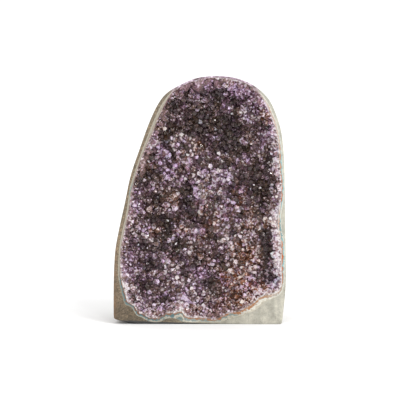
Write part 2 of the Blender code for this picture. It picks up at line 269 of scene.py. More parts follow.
def rim_ring(inset=0.0, linings=0.0):
    """The (x, z) ring at that inset, with one point for each point of the rock's outer rings."""
    distance = rim_distance(RING_ANGLES, inset, linings)[:, None]
    return HOLLOW_MIDDLE + distance * np.column_stack([np.cos(RING_ANGLES), np.sin(RING_ANGLES)])


def between(first, last, count):
    """Rings that divide the way from the first ring to the last, without those two."""
    return [first + (last - first) * step / (count + 1) for step in range(1, count + 1)]


def bowl_rings(ring, depth):
    """Rings from a rim ring down a bowl of this depth, and the bowl's lowest point."""
    rings = [
        at_depth(HOLLOW_MIDDLE + width * (ring - HOLLOW_MIDDLE), share * depth)
        for width, share in BOWL_SECTION
    ]
    return rings, np.array((HOLLOW_MIDDLE[0], depth, HOLLOW_MIDDLE[1]))


def faces_between(rings):
    """The four-cornered faces between rings of equal length."""
    count = len(rings[0])
    faces = []
    for start in range(0, (len(rings) - 1) * count, count):
        for i in range(count):
            before = (i - 1) % count
            faces.append((start + before, start + i, start + count + i, start + count + before))
    return faces


def lofted(name, first_pole, rings, last_pole):
    """A closed mesh through rings of equal length, closed at each end by a fan to a point."""
    points = np.vstack([*rings, first_pole, last_pole])
    count = len(rings[0])
    faces = faces_between(rings)
    first, last = len(points) - 2, len(points) - 1
    end = (len(rings) - 1) * count
    for i in range(count):
        before = (i - 1) % count
        faces.append((first, i, before))
        faces.append((last, end + before, end + i))
    mesh = bpy.data.meshes.new(name)
    mesh.from_pydata(points.tolist(), [], faces)
    return mesh


def outward(mesh):
    """The same mesh with its faces turned outwards."""
    work = bmesh.new()
    work.from_mesh(mesh)
    bmesh.ops.recalc_face_normals(work, faces=work.faces)
    work.to_mesh(mesh)
    work.free()
    return mesh


def coordinates(mesh):
    values = np.empty(len(mesh.vertices) * 3)
    mesh.vertices.foreach_get("co", values)
    return values.reshape(-1, 3)


def write_attribute(mesh, name, values, domain="POINT"):
    made = mesh.attributes.new(name, "FLOAT", domain)
    made.data.foreach_set("value", np.asarray(values, dtype=np.float32))


def add_piece(name, mesh):
    piece = bpy.data.objects.new(name, mesh)
    bpy.context.scene.collection.objects.link(piece)
    return piece


def finish_piece(piece, node, material, smooth=True):
    """Leans a flat-made piece back, sets it on the CAD model's place, gives it its material and smooth
    or flat faces, parents it to the root body and hides its CAD node.
    """
    rounded = [smooth and abs(face.normal.y) < 0.9999 for face in piece.data.polygons]
    piece.data.polygons.foreach_set("use_smooth", rounded)
    piece.data.transform(LEAN)
    piece.data.transform(PLACE)
    piece.data.materials.clear()
    piece.data.materials.append(material)
    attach(piece, "root")
    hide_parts(node)


def new_material(name):
    """A material and its tree, shader and Object coordinates."""
    made = bpy.data.materials.new(name)
    made.use_nodes = True
    tree = made.node_tree
    place = tree.nodes.new("ShaderNodeTexCoord").outputs["Object"]
    return made, tree, tree.nodes["Principled BSDF"], place


def add_node(tree, kind, inputs=None, **settings):
    """A node with these settings. An input is linked where it is given a socket, else it is set."""
    node = tree.nodes.new(kind)
    for name, value in settings.items():
        setattr(node, name, value)
    for name, value in (inputs or {}).items():
        if isinstance(value, bpy.types.NodeSocket):
            tree.links.new(value, node.inputs[name])
        else:
            node.inputs[name].default_value = value
    return node


def add_noise(tree, place, scale, detail=3.0, roughness=0.55, stretch=(1, 1, 1)):
    """The value of a noise whose features are 1/scale metres, stretched along the axes."""
    mapped = add_node(tree, "ShaderNodeMapping", {"Vector": place, "Scale": stretch})
    inputs = {
        "Vector": mapped.outputs[0], "Scale": scale, "Detail": detail, "Roughness": roughness
    }
    return add_node(tree, "ShaderNodeTexNoise", inputs).outputs["Fac"]


def add_math(tree, operation, first, second=0.0, clamp=False):
    return add_node(
        tree, "ShaderNodeMath", {0: first, 1: second}, operation=operation, use_clamp=clamp
    ).outputs[0]


def add_product(tree, *values):
    """The product of several values."""
    product = values[0]
    for value in values[1:]:
        product = add_math(tree, "MULTIPLY", product, value)
    return product


def add_range(tree, value, low, high, to_low=0.0, to_high=1.0):
    """A value's range made to run smoothly from one end to the other."""
    inputs = {
        "Value": value, "From Min": low, "From Max": high, "To Min": to_low, "To Max": to_high
    }
    return add_node(
        tree, "ShaderNodeMapRange", inputs, interpolation_type="SMOOTHSTEP"
    ).outputs[0]


def add_axes(tree, place):
    """The x and the z of a place."""
    parts = add_node(tree, "ShaderNodeSeparateXYZ", {0: place}).outputs
    return parts["X"], parts["Z"]


def add_corner(tree, x, z, across, upward):
    """1 in one corner of the front and 0 outside it, from the stretches of x and of z, in
    millimetres, along which it comes in."""
    in_x = add_range(tree, x, across[0] * MM, across[1] * MM)
    in_z = add_range(tree, z, upward[0] * MM, upward[1] * MM)
    return add_math(tree, "MULTIPLY", in_x, in_z)


def add_grey(tree, value):
    """The grey colour of a value."""
    return add_node(tree, "ShaderNodeCombineColor", {0: value, 1: value, 2: value}).outputs[0]


def add_mix(tree, share, first, second, blend="MIX"):
    """Two colours mixed. A colour is a socket or (red, green, blue)."""
    colours = [c if isinstance(c, bpy.types.NodeSocket) else (*c, 1) for c in (first, second)]
    inputs = {0: share, 6: colours[0], 7: colours[1]}
    return add_node(
        tree, "ShaderNodeMix", inputs, data_type="RGBA", blend_type=blend
    ).outputs[2]


def add_attribute(tree, name):
    return add_node(tree, "ShaderNodeAttribute", attribute_name=name).outputs["Fac"]


def add_bump(tree, shader, height, distance, strength=1.0):
    bump = add_node(
        tree, "ShaderNodeBump", {"Height": height, "Distance": distance, "Strength": strength}
    )
    tree.links.new(bump.outputs[0], shader.inputs["Normal"])


def add_ramp(tree, value, stops):
    """A colour that changes along a value, from stops of (value, (red, green, blue))."""
    ramp = add_node(tree, "ShaderNodeValToRGB", {0: value})
    ramp.color_ramp.elements.remove(ramp.color_ramp.elements[1])
    for number, (position, colour) in enumerate(stops):
        if number:
            ramp.color_ramp.elements.new(position)
        ramp.color_ramp.elements[number].position = position
        ramp.color_ramp.elements[number].color = (*colour, 1)
    return ramp.outputs[0]


def top_quartz_group():
    """A node group: the dark, lilac and white quartz that is ground flush along the top edge, in
    grains of 1/Scale metres."""
    group = bpy.data.node_groups.new("top_quartz", "ShaderNodeTree")
    group.interface.new_socket("Place", in_out="INPUT", socket_type="NodeSocketVector")
    group.interface.new_socket("Scale", in_out="INPUT", socket_type="NodeSocketFloat")
    group.interface.new_socket("Color", in_out="OUTPUT", socket_type="NodeSocketColor")
    given = group.nodes.new("NodeGroupInput").outputs
    colour = add_ramp(group, add_noise(group, given["Place"], given["Scale"]), (
        (0.36, (0.10, 0.065, 0.06)), (0.5, (0.33, 0.23, 0.30)), (0.66, (0.85, 0.72, 0.82)),
    ))
    result = group.nodes.new("NodeGroupOutput")
    group.links.new(colour, result.inputs["Color"])
    return group


TOP_QUARTZ = top_quartz_group()


def add_top_quartz(tree, place, scale):
    inputs = {"Place": place, "Scale": scale}
    return add_node(tree, "ShaderNodeGroup", inputs, node_tree=TOP_QUARTZ).outputs["Color"]


def basalt_material():
    """Ground basalt: brown with iron on the left, pale grey-green on the right, with saw marks. The
    back is rough and darker, with pale dust in its pits. Painted shade darkens the lower left of the
    front and the base's rounded front edge."""
    made, tree, shader, place = new_material("ground_basalt")
    x, z = add_axes(tree, place)
    broad = add_noise(tree, place, 60)
    patch = add_noise(tree, place, 190, detail=5, roughness=0.65)
    grain = add_noise(tree, place, 900, detail=3, roughness=0.7)
    right = add_range(tree, x, -70 * MM, 70 * MM)
    right = add_math(tree, "ADD", right, add_range(tree, broad, 0.3, 0.7, -0.08, 0.08), clamp=True)
    high = add_range(tree, z, 20 * MM, 60 * MM)
    low_stone = add_ramp(tree, right, (
        (0.0, (0.165, 0.121, 0.077)), (0.2, (0.178, 0.139, 0.092)), (0.42, (0.215, 0.185, 0.133)),
        (0.6, (0.27, 0.25, 0.195)), (0.8, (0.375, 0.355, 0.29)), (1.0, (0.49, 0.47, 0.395)),
    ))
    side_stone = add_ramp(tree, right, (
        (0.0, (0.215, 0.16, 0.10)), (0.3, (0.19, 0.157, 0.113)), (0.55, (0.48, 0.44, 0.37)),
        (1.0, (0.48, 0.465, 0.39)),
    ))
    colour = add_mix(tree, high, low_stone, side_stone)
    streaks = add_noise(tree, place, 260, detail=3, stretch=(1, 1, 0.05))
    shade = add_range(tree, streaks, 0.3, 0.7, 0.88, 1.1)
    shade = add_math(tree, "MULTIPLY", shade, add_range(tree, patch, 0.3, 0.7, 0.84, 1.17))
    skin = add_attribute(tree, "skin")
    weather = add_noise(tree, place, 45, detail=8, roughness=0.68)
    back = add_ramp(tree, weather, (
        (0.32, (0.075, 0.062, 0.048)), (0.45, (0.14, 0.12, 0.09)), (0.55, (0.20, 0.175, 0.135)),
        (0.68, (0.33, 0.30, 0.24)),
    ))
    ochre = add_noise(tree, place, 28, detail=7, roughness=0.65)
    ochre = add_range(tree, ochre, 0.48, 0.68, 0.0, 0.75)
    back = add_mix(tree, ochre, back, (0.20, 0.125, 0.065))
    vesicles = add_node(tree, "ShaderNodeTexVoronoi", {"Vector": place, "Scale": 240})
    vesicles = add_range(tree, vesicles.outputs["Distance"], 0.32, 0.14)
    sparse = add_range(tree, add_noise(tree, place, 75), 0.5, 0.6)
    vesicles = add_math(tree, "MULTIPLY", vesicles, sparse)
    back = add_mix(tree, add_math(tree, "MULTIPLY", vesicles, 0.75), back, (0.05, 0.04, 0.03))
    colour = add_mix(tree, 1.0, colour, add_grey(tree, shade), "MULTIPLY")
    colour = add_mix(tree, skin, colour, back)
    specks = add_range(tree, grain, 0.53, 0.66)
    specks = add_math(tree, "MULTIPLY", specks, add_range(tree, right, 0.3, 0.8, 0.6, 0.25))
    colour = add_mix(tree, specks, colour, (0.07, 0.06, 0.045))
    grit = add_noise(tree, place, 850, detail=3, roughness=0.6)
    grit = add_range(tree, grit, 0.36, 0.64, 0.5, 1.5)
    gritty = add_range(tree, right, 0.15, 0.6, 0.8, 0.12)
    gritty = add_math(tree, "MAXIMUM", gritty, add_math(tree, "MULTIPLY", skin, 0.55))
    colour = add_mix(tree, gritty, colour, add_grey(tree, grit), "MULTIPLY")
    dust = add_math(tree, "MULTIPLY", add_range(tree, grain, 0.4, 0.3), 0.2)
    colour = add_mix(tree, dust, colour, (0.70, 0.67, 0.58))
    front = add_math(tree, "SUBTRACT", 1.0, skin)
    iron = add_product(
        tree, add_range(tree, x, -66 * MM, -69 * MM), front,
        add_range(tree, patch, 0.35, 0.6, 0.1, 0.7),
    )
    colour = add_mix(tree, iron, colour, (0.25, 0.14, 0.07))
    rind = add_math(tree, "ADD", add_math(tree, "MULTIPLY", skin, 4.0), broad)
    rind = add_range(tree, rind, 1.0, 0.75)
    top = add_math(tree, "MULTIPLY", add_range(tree, z, 186 * MM, 193 * MM), rind)
    colour = add_mix(tree, top, colour, add_top_quartz(tree, place, 260))
    # Painted shade: the lower left of the front is darker towards the base
    low = add_math(tree, "MULTIPLY", add_corner(tree, x, z, (-36, -52), (19, 11)), front)
    colour = add_mix(tree, low, colour, (0.78, 0.78, 0.76), "MULTIPLY")
    # Painted shade: the rounded front edge of the base, highest on the left, is painted near black
    # where it turns under, as its contact shadow
    edge = add_range(tree, x, -80 * MM, 26 * MM, 3.6 * MM, 0.3 * MM)
    painted_contact_shade = add_range(tree, add_math(tree, "DIVIDE", z, edge), 1.15, 0.7)
    painted_contact_shade = add_math(tree, "MULTIPLY", painted_contact_shade, front)
    colour = add_mix(tree, painted_contact_shade, colour, (0.045, 0.045, 0.044))
    tree.links.new(colour, shader.inputs["Base Color"])
    rough = add_range(tree, patch, 0.3, 0.7, 0.45, 0.75)
    tree.links.new(rough, shader.inputs["Roughness"])
    sawn = add_math(tree, "ADD", add_math(tree, "MULTIPLY", streaks, 0.6), grain)
    rough_skin = add_math(tree, "SUBTRACT", add_math(tree, "MULTIPLY", weather, 5.0), vesicles)
    rough_skin = add_math(tree, "MULTIPLY", add_math(tree, "ADD", rough_skin, patch), skin)
    add_bump(tree, shader, add_math(tree, "ADD", sawn, rough_skin), 0.3 * MM, 0.6)
    return made


turns = np.linspace(0, math.pi / 2, EDGE_STEPS + 1)
backs = REAR_SHARE * np.sin(np.linspace(0, math.pi / 2, BACK_STEPS))[1:]
back_rings = [back_ring(share) for share in backs[::-1]]
rear = back_rings[0].mean(axis=0)
front_ring = edge_ring(0)
rim = at_depth(rim_ring(), 0)
bowl, deepest = bowl_rings(rim_ring(), BOWL_DEPTH)
rings = [
    *between(np.broadcast_to(rear, front_ring.shape), back_rings[0], REAR_ROWS),
    *back_rings,
    *[edge_ring(turn) for turn in turns[::-1]],
    *between(front_ring, rim, FRONT_ROWS),
    rim,
    *bowl,
]
rock_mesh = outward(lofted("basalt_rock_ground", rear, rings, deepest))
rock_points = coordinates(rock_mesh)
write_attribute(rock_mesh, "skin", smoothstep(2.5 * MM, 14 * MM, rock_points[:, 1]))

# The lean of the front, and the way from the flat-made rock's own low corner to the CAD model's
LEAN = Matrix.Shear("XY", 4, (0, math.tan(FRONT_LEAN)))
leaned_y = rock_points[:, 1] + rock_points[:, 2] * math.tan(FRONT_LEAN)
cad_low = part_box("basalt_rock")[0]
PLACE = Matrix.Translation((cad_low.x - rock_points[:, 0].min(), cad_low.y - leaned_y.min(), 0))

rock = add_piece("basalt_rock_ground", rock_mesh)
finish_piece(rock, "basalt_rock", basalt_material())

# The agate lining
#
# Thin bands of chalcedony that lined the hollow before its crystals grew: cream next to the rock,
# then a teal line that comes and goes, and a rust line against the quartz. It is ground flush.

LINING_GAP = 0.02 * MM
LINING_THICKNESS = 3.6 * MM
LINING_ROWS = 12
WIDEST_BANDS = 4.2 * MM

# How strong the teal and the rust lines are along the rim, and how wide the white quartz inside
# them is: x, z, teal, rust, white width in millimetres
BANDS = (
    (66.4, 36.0, 0.4, 0.9, 3.6), (66.4, 45.0, 0.8, 0.9, 7.8), (66.4, 50.2, 1.0, 0.7, 5.6),
    (66.5, 55.9, 1.0, 1.0, 4.2), (66.5, 59.9, 1.0, 0.6, 4.6), (66.3, 64.0, 0.8, 1.0, 4.8),
    (66.0, 68.0, 1.1, 0.3, 4.2), (65.0, 72.0, 1.4, 0.2, 4.8), (64.5, 76.0, 1.6, 0.3, 5.2),
    (64.0, 80.0, 1.6, 0.6, 5.7), (64.2, 84.2, 1.2, 0.5, 5.7), (64.5, 88.3, 0.6, 0.5, 5.2),
    (65.0, 92.3, 0.3, 0.2, 4.3), (65.5, 96.4, 1.0, 0.6, 3.3), (65.8, 100.4, 1.0, 1.0, 2.4),
    (66.0, 108.0, 1.0, 0.8, 2.3), (66.0, 117.0, 1.0, 0.8, 2.3), (65.6, 122.0, 1.0, 0.8, 2.8),
    (65.3, 127.2, 1.0, 0.6, 3.7), (65.0, 133.0, 1.0, 0.8, 4.3), (64.5, 141.0, 0.5, 0.6, 4.3),
    (62.0, 158.0, 0.0, 0.2, 3.0), (58.3, 167.0, 0.0, 0.5, 2.6), (55.0, 173.0, 0.0, 0.4, 2.2),
    (50.0, 182.0, 0.0, 0.1, 2.2), (45.8, 187.5, 0.0, 0.4, 2.2), (38.0, 192.0, 0.0, 0.1, 2.6),
    (26.0, 196.5, 0.0, 0.8, 3.0), (20.0, 197.5, 0.0, 0.3, 2.0), (0.0, 197.0, 0.0, 0.0, 1.4),
    (-18.0, 189.0, 0.0, 0.1, 0.9), (-30.0, 176.0, 0.0, 0.1, 0.8), (-42.0, 147.0, 0.0, 0.1, 1.8),
    (-52.0, 119.0, 0.1, 0.2, 0.4), (-54.6, 109.0, 0.9, 0.2, 0.5), (-56.0, 99.0, 0.1, 0.3, 1.6),
    (-60.0, 87.0, 0.0, 0.2, 2.4), (-60.0, 77.0, 0.0, 0.2, 1.6), (-63.5, 55.0, 0.1, 0.2, 1.2),
    (-64.0, 44.0, 0.3, 0.4, 3.4), (-63.5, 36.0, 1.0, 0.8, 4.6), (-61.5, 25.0, 1.0, 0.9, 3.6),
    (-57.0, 16.0, 1.0, 1.0, 3.2), (-50.0, 9.0, 1.0, 1.0, 3.6), (-40.0, 5.5, 1.0, 1.0, 3.2),
    (-30.0, 6.0, 1.0, 0.9, 3.3), (-20.0, 9.0, 1.0, 0.9, 5.2), (-14.0, 7.0, 0.8, 0.9, 6.0),
    (-7.0, 4.5, 0.6, 0.9, 3.0), (6.0, 4.5, 0.6, 0.9, 2.1), (13.0, 4.0, 0.3, 1.0, 1.8),
    (18.5, 6.0, 0.8, 1.0, 2.0), (27.0, 9.5, 0.7, 1.0, 2.2), (31.0, 10.0, 0.2, 1.0, 2.5),
    (42.0, 16.0, 0.0, 1.0, 3.0), (53.0, 23.0, 0.1, 0.9, 5.6), (58.0, 24.5, 0.2, 0.4, 6.0),
    (63.0, 26.0, 0.2, 0.5, 5.4),
)


def bands_at(points):
    """The teal, rust and white width beside these (x, z) points."""
    table = np.array(BANDS)
    angle = angles_of(table[:, :2] * MM)
    rank = np.argsort(angle)
    wanted = angles_of(points)
    return [
        np.interp(wanted, angle[rank], table[rank, column], period=2 * math.pi)
        for column in (2, 3, 4)
    ]


def agate_material():
    """Cream and grey-white chalcedony, greyer on the left, with the teal and the rust line, and
    painted shade along the bottom next to the base.
    """
    made, tree, shader, place = new_material("banded_agate")
    x, z = add_axes(tree, place)
    wander = add_range(tree, add_noise(tree, place, 450, detail=4), 0.3, 0.7, -0.28, 0.28)
    across = add_math(tree, "ADD", add_attribute(tree, "across"), wander)
    right = add_corner(tree, x, z, (0, 60), (25, 50))
    across = add_math(tree, "ADD", across, add_math(tree, "MULTIPLY", right, 0.1))
    patch = add_noise(tree, place, 300, detail=4)
    colour = add_ramp(tree, across, (
        (0.0, (0.50, 0.45, 0.35)), (0.18, (0.74, 0.71, 0.62)), (0.42, (0.66, 0.64, 0.59)),
        (0.65, (0.50, 0.46, 0.40)), (1.0, (0.64, 0.56, 0.49)),
    ))
    left = add_range(tree, x, 0.0, -35 * MM)
    colour = add_mix(tree, left, colour, (0.52, 0.48, 0.44), "MULTIPLY")
    colour = add_mix(tree, add_range(tree, patch, 0.5, 0.75), colour, (0.36, 0.31, 0.24))
    layers = add_node(
        tree, "ShaderNodeTexNoise", {"W": add_attribute(tree, "inward"), "Scale": 1700},
        noise_dimensions="1D",
    )
    layers = add_range(tree, layers.outputs[0], 0.3, 0.7)
    teal = add_math(
        tree, "MULTIPLY", add_range(tree, across, 0.22, 0.36), add_range(tree, across, 0.78, 0.66)
    )
    swirl = add_math(
        tree, "MULTIPLY", add_range(tree, across, -0.55, -0.4), add_range(tree, across, -0.05, -0.2)
    )
    teal = add_math(tree, "MAXIMUM", teal, swirl)
    strength = add_attribute(tree, "teal")
    teal = add_math(tree, "MULTIPLY", teal, strength, clamp=True)
    low_left = add_corner(tree, x, z, (-52, -56), (38, 32))
    colour = add_mix(tree, low_left, colour, (0.50, 0.44, 0.36), "MULTIPLY")
    # Painted shade: along the bottom middle the lining is darker towards the base
    painted_low_shade = add_corner(tree, x, z, (-8, 2), (12, 6))
    painted_low_shade = add_math(tree, "MULTIPLY", painted_low_shade, add_range(tree, x, 52 * MM, 30 * MM))
    colour = add_mix(tree, painted_low_shade, colour, (0.66, 0.63, 0.57), "MULTIPLY")
    blue = add_mix(tree, right, (0.035, 0.12, 0.14), (0.17, 0.44, 0.47))
    blue = add_mix(tree, add_range(tree, strength, 1.0, 1.5), blue, (0.06, 0.23, 0.27))
    colour = add_mix(tree, teal, colour, blue)
    colour = add_mix(tree, add_math(tree, "MULTIPLY", layers, 0.25), colour, (0.62, 0.60, 0.52))
    low_right = add_corner(tree, x, z, (26, 40), (36, 28))
    inner = add_math(tree, "ADD", across, add_math(tree, "MULTIPLY", low_right, 0.12))
    beads = add_range(tree, add_noise(tree, place, 380), 0.3, 0.5, 0.3, 1.0)
    rust = add_product(tree, add_range(tree, inner, 0.62, 0.74), add_attribute(tree, "rust"), beads)
    iron = add_mix(tree, right, (0.30, 0.125, 0.05), (0.44, 0.105, 0.012))
    iron = add_mix(tree, left, iron, (0.17, 0.065, 0.025))
    iron = add_mix(tree, low_right, iron, (0.36, 0.175, 0.08))
    colour = add_mix(tree, rust, colour, iron)
    top = add_range(tree, z, 184 * MM, 192 * MM)
    colour = add_mix(tree, top, colour, add_top_quartz(tree, place, 260))
    tree.links.new(colour, shader.inputs["Base Color"])
    tree.links.new(add_range(tree, patch, 0.3, 0.7, 0.3, 0.45), shader.inputs["Roughness"])
    add_bump(tree, shader, patch, 0.15 * MM, 0.5)
    return made


outside, behind = bowl_rings(rim_ring(LINING_GAP), BOWL_DEPTH - LINING_GAP)
inside, lining_front = bowl_rings(rim_ring(0, 1), BOWL_DEPTH - LINING_GAP - LINING_THICKNESS)
outer, inner = at_depth(rim_ring(LINING_GAP), 0), at_depth(rim_ring(0, 1), 0)
rings = [*outside[::-1], outer, *between(outer, inner, LINING_ROWS), inner, *inside]
lining_mesh = lofted("banded_agate_lining", behind, rings, lining_front)
shares = [0] * (len(outside) + 1) + [step / (LINING_ROWS + 1) for step in range(1, LINING_ROWS + 1)]
shares += [1] * (len(inside) + 1)
widths = np.linalg.norm(outer - inner, axis=1)
from_quartz = (1 - np.array(shares))[:, None] * (widths / np.minimum(widths, WIDEST_BANDS))[None]
write_attribute(lining_mesh, "across", np.append((1 - from_quartz).ravel(), (0, 1)))
lining_points = coordinates(lining_mesh)[:, [0, 2]]
from_rock = inward_of_rim(lining_points, linings=0)
write_attribute(lining_mesh, "inward", np.clip(from_rock, 0, 20 * MM))
teal, rust, _ = bands_at(lining_points)
write_attribute(lining_mesh, "teal", teal)
write_attribute(lining_mesh, "rust", rust)
lining = add_piece("banded_agate_lining", outward(lining_mesh))
finish_piece(lining, "agate_lining", agate_material())

# The amethyst crust
#
# Quartz that grew from the lining into the hollow, first white and massive, then as close-packed
# amethyst points. Iron has stained it brown in places. Where it meets the rim it is ground flush.

CRUST_GAP = 0.02 * MM
CRUST_MARGIN = 0.3 * MM
DISH_DEPTH = 14.5 * MM
DISH_POWER = 6.5

# The rows of points of the crystal floor lie between these shares of the way from the rim to the
# middle, a little closer together beside the rim
DISH_ROWS = 40
DISH_SPAN = (0.004, 0.97)
DISH_CROWDING = 1.15

# How far the crust is made too large before it is cut to the hollow
ALLOWANCE = 1 * MM

# The small unevenness of the floor, as pairs of size and rise
FLOOR_NOISE = ((22 * MM, 1.5 * MM), (9 * MM, 1.0 * MM))

# Mounds (positive) and pockets (negative) of the crystal floor: x, z, radius, rise in millimetres
MOUNDS = (
    (28, 155, 26, -4.0), (-22, 163, 18, -2.5), (4, 116, 17, 4.0), (-34, 118, 15, 2.5),
    (32, 92, 15, 3.5), (-30, 72, 20, -3.0), (8, 66, 16, 2.0), (38, 52, 18, 3.0),
    (-40, 34, 15, -2.0), (-14, 26, 14, 4.0), (55, 37, 10, -3.0), (50, 128, 14, -2.0),
)

# Quartz points: half their width, their height above the floor and their root in it. The six faces
# of a point slope by the angle between quartz's rhombohedron and its base.
POINT_WIDTH = 1.75 * MM
POINT_HEIGHTS = (2.2 * MM, 5.4 * MM)
POINT_ROOT = 2.6 * MM
POINT_SLOPE = math.radians(51.8)
POINT_SHAPES = 14
POINT_PITCH = 2.9 * MM
POINT_SIZES = (0.75, 1.35)
POINT_TILT = math.radians(32)
POINT_FACING = (0, -0.7, 0)
RIM_POINT_PITCH = 2.1 * MM
RIM_BAND_ROWS = 5

# How large the points grow, from how many millimetres inside the rim they stand
POINT_GROWTH = ((0, 0.25), (1, 0.5), (2.5, 0.85), (5, 1.0))

# The size of the patches in which they grow larger or smaller, and by what share
GROWTH_NOISE = (13 * MM, 0.35)

# What is added to a crystal's number for each floor that crystals grew on before its own
LAYER_STEP = 100000
POINT_SEED = 11


def floor_depth(points):
    """How far behind the ground rim the floor under the crystals lies at (x, z) points."""
    reach = rim_distance(angles_of(points), CRUST_MARGIN, 1)
    share = np.clip(np.hypot(*(points - HOLLOW_MIDDLE).T) / reach, 0, 1)
    depth = DISH_DEPTH * (1 - share**DISH_POWER)
    for x, z, radius, rise in MOUNDS:
        square = ((points - (x * MM, z * MM)) ** 2).sum(axis=1) / (radius * MM) ** 2
        depth = depth - rise * MM * np.exp(-square) * (1 - share**4)
    for size, rise in FLOOR_NOISE:
        bumps = [noise.noise(Vector((x, 0, z)) / size) for x, z in points]
        depth = depth + rise * np.array(bumps) * (1 - share**4)
    return depth


def quartz_point(rng):
    """A quartz crystal on its axis Z: a prism with six sloping faces, three larger than the rest."""
    height = rng.uniform(*POINT_HEIGHTS)
    planes = [((0, 0, -1), POINT_ROOT)]
    for side in range(6):
        turn = side * math.pi / 3
        out = (math.cos(turn), math.sin(turn))
        planes.append(((*out, 0), POINT_WIDTH * rng.uniform(0.85, 1.15)))
        top = height * rng.uniform(0.94, 1.06) + (side % 2) * POINT_WIDTH * rng.uniform(0.1, 0.7)
        slope = (out[0] * math.sin(POINT_SLOPE), out[1] * math.sin(POINT_SLOPE), math.cos(POINT_SLOPE))
        planes.append((slope, top * math.cos(POINT_SLOPE)))
    normals = np.array([normal for normal, _ in planes])
    reaches = np.array([reach for _, reach in planes])
    mesh = bmesh.new()
    for three in itertools.combinations(range(len(planes)), 3):
        picked = list(three)
        if abs(np.linalg.det(normals[picked])) < 1e-6:
            continue
        corner = np.linalg.solve(normals[picked], reaches[picked])
        if (normals @ corner < reaches + 1e-7).all():
            mesh.verts.new(corner)
    bmesh.ops.remove_doubles(mesh, verts=mesh.verts, dist=1e-6)
    bmesh.ops.convex_hull(mesh, input=mesh.verts)
    bmesh.ops.dissolve_limit(mesh, angle_limit=0.02, verts=mesh.verts, edges=mesh.edges)
    made = bpy.data.meshes.new("quartz_point")
    mesh.to_mesh(made)
    mesh.free()
    write_attribute(made, "up", coordinates(made)[:, 2] / height)
    write_attribute(made, "facet", range(len(made.polygons)), "FACE")
    return made


def druse_tree(material):
    """Geometry nodes that grow quartz points on a floor, each leaning a little its own way."""
    tree = bpy.data.node_groups.new("druse_of_points", "GeometryNodeTree")
    face = tree.interface
    face.new_socket("Floor", in_out="INPUT", socket_type="NodeSocketGeometry")
    for name, kind in (
        ("Points", "Collection"), ("Pitch", "Float"), ("Smallest", "Float"), ("Largest", "Float"),
        ("Tilt", "Float"), ("Facing", "Vector"), ("Seed", "Int"),
    ):
        face.new_socket(name, in_out="INPUT", socket_type=f"NodeSocket{kind}")
    face.new_socket("Crystals", in_out="OUTPUT", socket_type="NodeSocketGeometry")
    given = tree.nodes.new("NodeGroupInput").outputs
    places = add_node(
        tree, "GeometryNodeDistributePointsOnFaces",
        {"Mesh": given["Floor"], "Distance Min": given["Pitch"], "Density Max": 1e6,
         "Seed": given["Seed"]},
        distribute_method="POISSON",
    )
    shapes = add_node(
        tree, "GeometryNodeCollectionInfo",
        {"Collection": given["Points"], "Separate Children": True, "Reset Children": True},
    )
    pick = add_node(tree, "FunctionNodeRandomValue", {5: 999, "Seed": 1}, data_type="INT")
    size = add_node(
        tree, "FunctionNodeRandomValue",
        {2: given["Smallest"], 3: given["Largest"], "Seed": 2}, data_type="FLOAT",
    )
    growth = add_node(tree, "GeometryNodeInputNamedAttribute", {"Name": "growth"}, data_type="FLOAT")
    scale = add_node(
        tree, "ShaderNodeMath", {0: size.outputs[1], 1: growth.outputs[0]}, operation="MULTIPLY"
    )
    back = add_node(tree, "ShaderNodeMath", {0: given["Tilt"], 1: -1}, operation="MULTIPLY")
    least = add_node(tree, "ShaderNodeCombineXYZ", {0: back.outputs[0], 1: back.outputs[0], 2: 0})
    most = add_node(tree, "ShaderNodeCombineXYZ", {0: given["Tilt"], 1: given["Tilt"], 2: math.tau})
    lean = add_node(
        tree, "FunctionNodeRandomValue",
        {0: least.outputs[0], 1: most.outputs[0], "Seed": 3}, data_type="FLOAT_VECTOR",
    )
    faced = add_node(
        tree, "ShaderNodeVectorMath", {0: places.outputs["Normal"], 1: given["Facing"]},
        operation="ADD",
    )
    upright = add_node(
        tree, "FunctionNodeAlignRotationToVector", {"Vector": faced.outputs[0]}, axis="Z"
    )
    turned = add_node(
        tree, "FunctionNodeRotateRotation",
        {"Rotation": upright.outputs[0],
         "Rotate By": add_node(tree, "FunctionNodeEulerToRotation", {0: lean.outputs[0]}).outputs[0]},
        rotation_space="LOCAL",
    )
    grown = add_node(
        tree, "GeometryNodeInstanceOnPoints",
        {"Points": places.outputs["Points"], "Instance": shapes.outputs[0], "Pick Instance": True,
         "Instance Index": pick.outputs[2], "Rotation": turned.outputs[0], "Scale": scale.outputs[0]},
    )
    number = add_node(tree, "GeometryNodeInputIndex")
    marked = add_node(
        tree, "GeometryNodeStoreNamedAttribute",
        {"Geometry": grown.outputs[0], "Name": "crystal", "Value": number.outputs[0]},
        data_type="FLOAT", domain="INSTANCE",
    )
    realized = add_node(tree, "GeometryNodeRealizeInstances", {0: marked.outputs[0]})
    coloured = add_node(
        tree, "GeometryNodeSetMaterial", {"Geometry": realized.outputs[0], "Material": material}
    )
    result = tree.nodes.new("NodeGroupOutput")
    tree.links.new(coloured.outputs[0], result.inputs[0])
    return tree


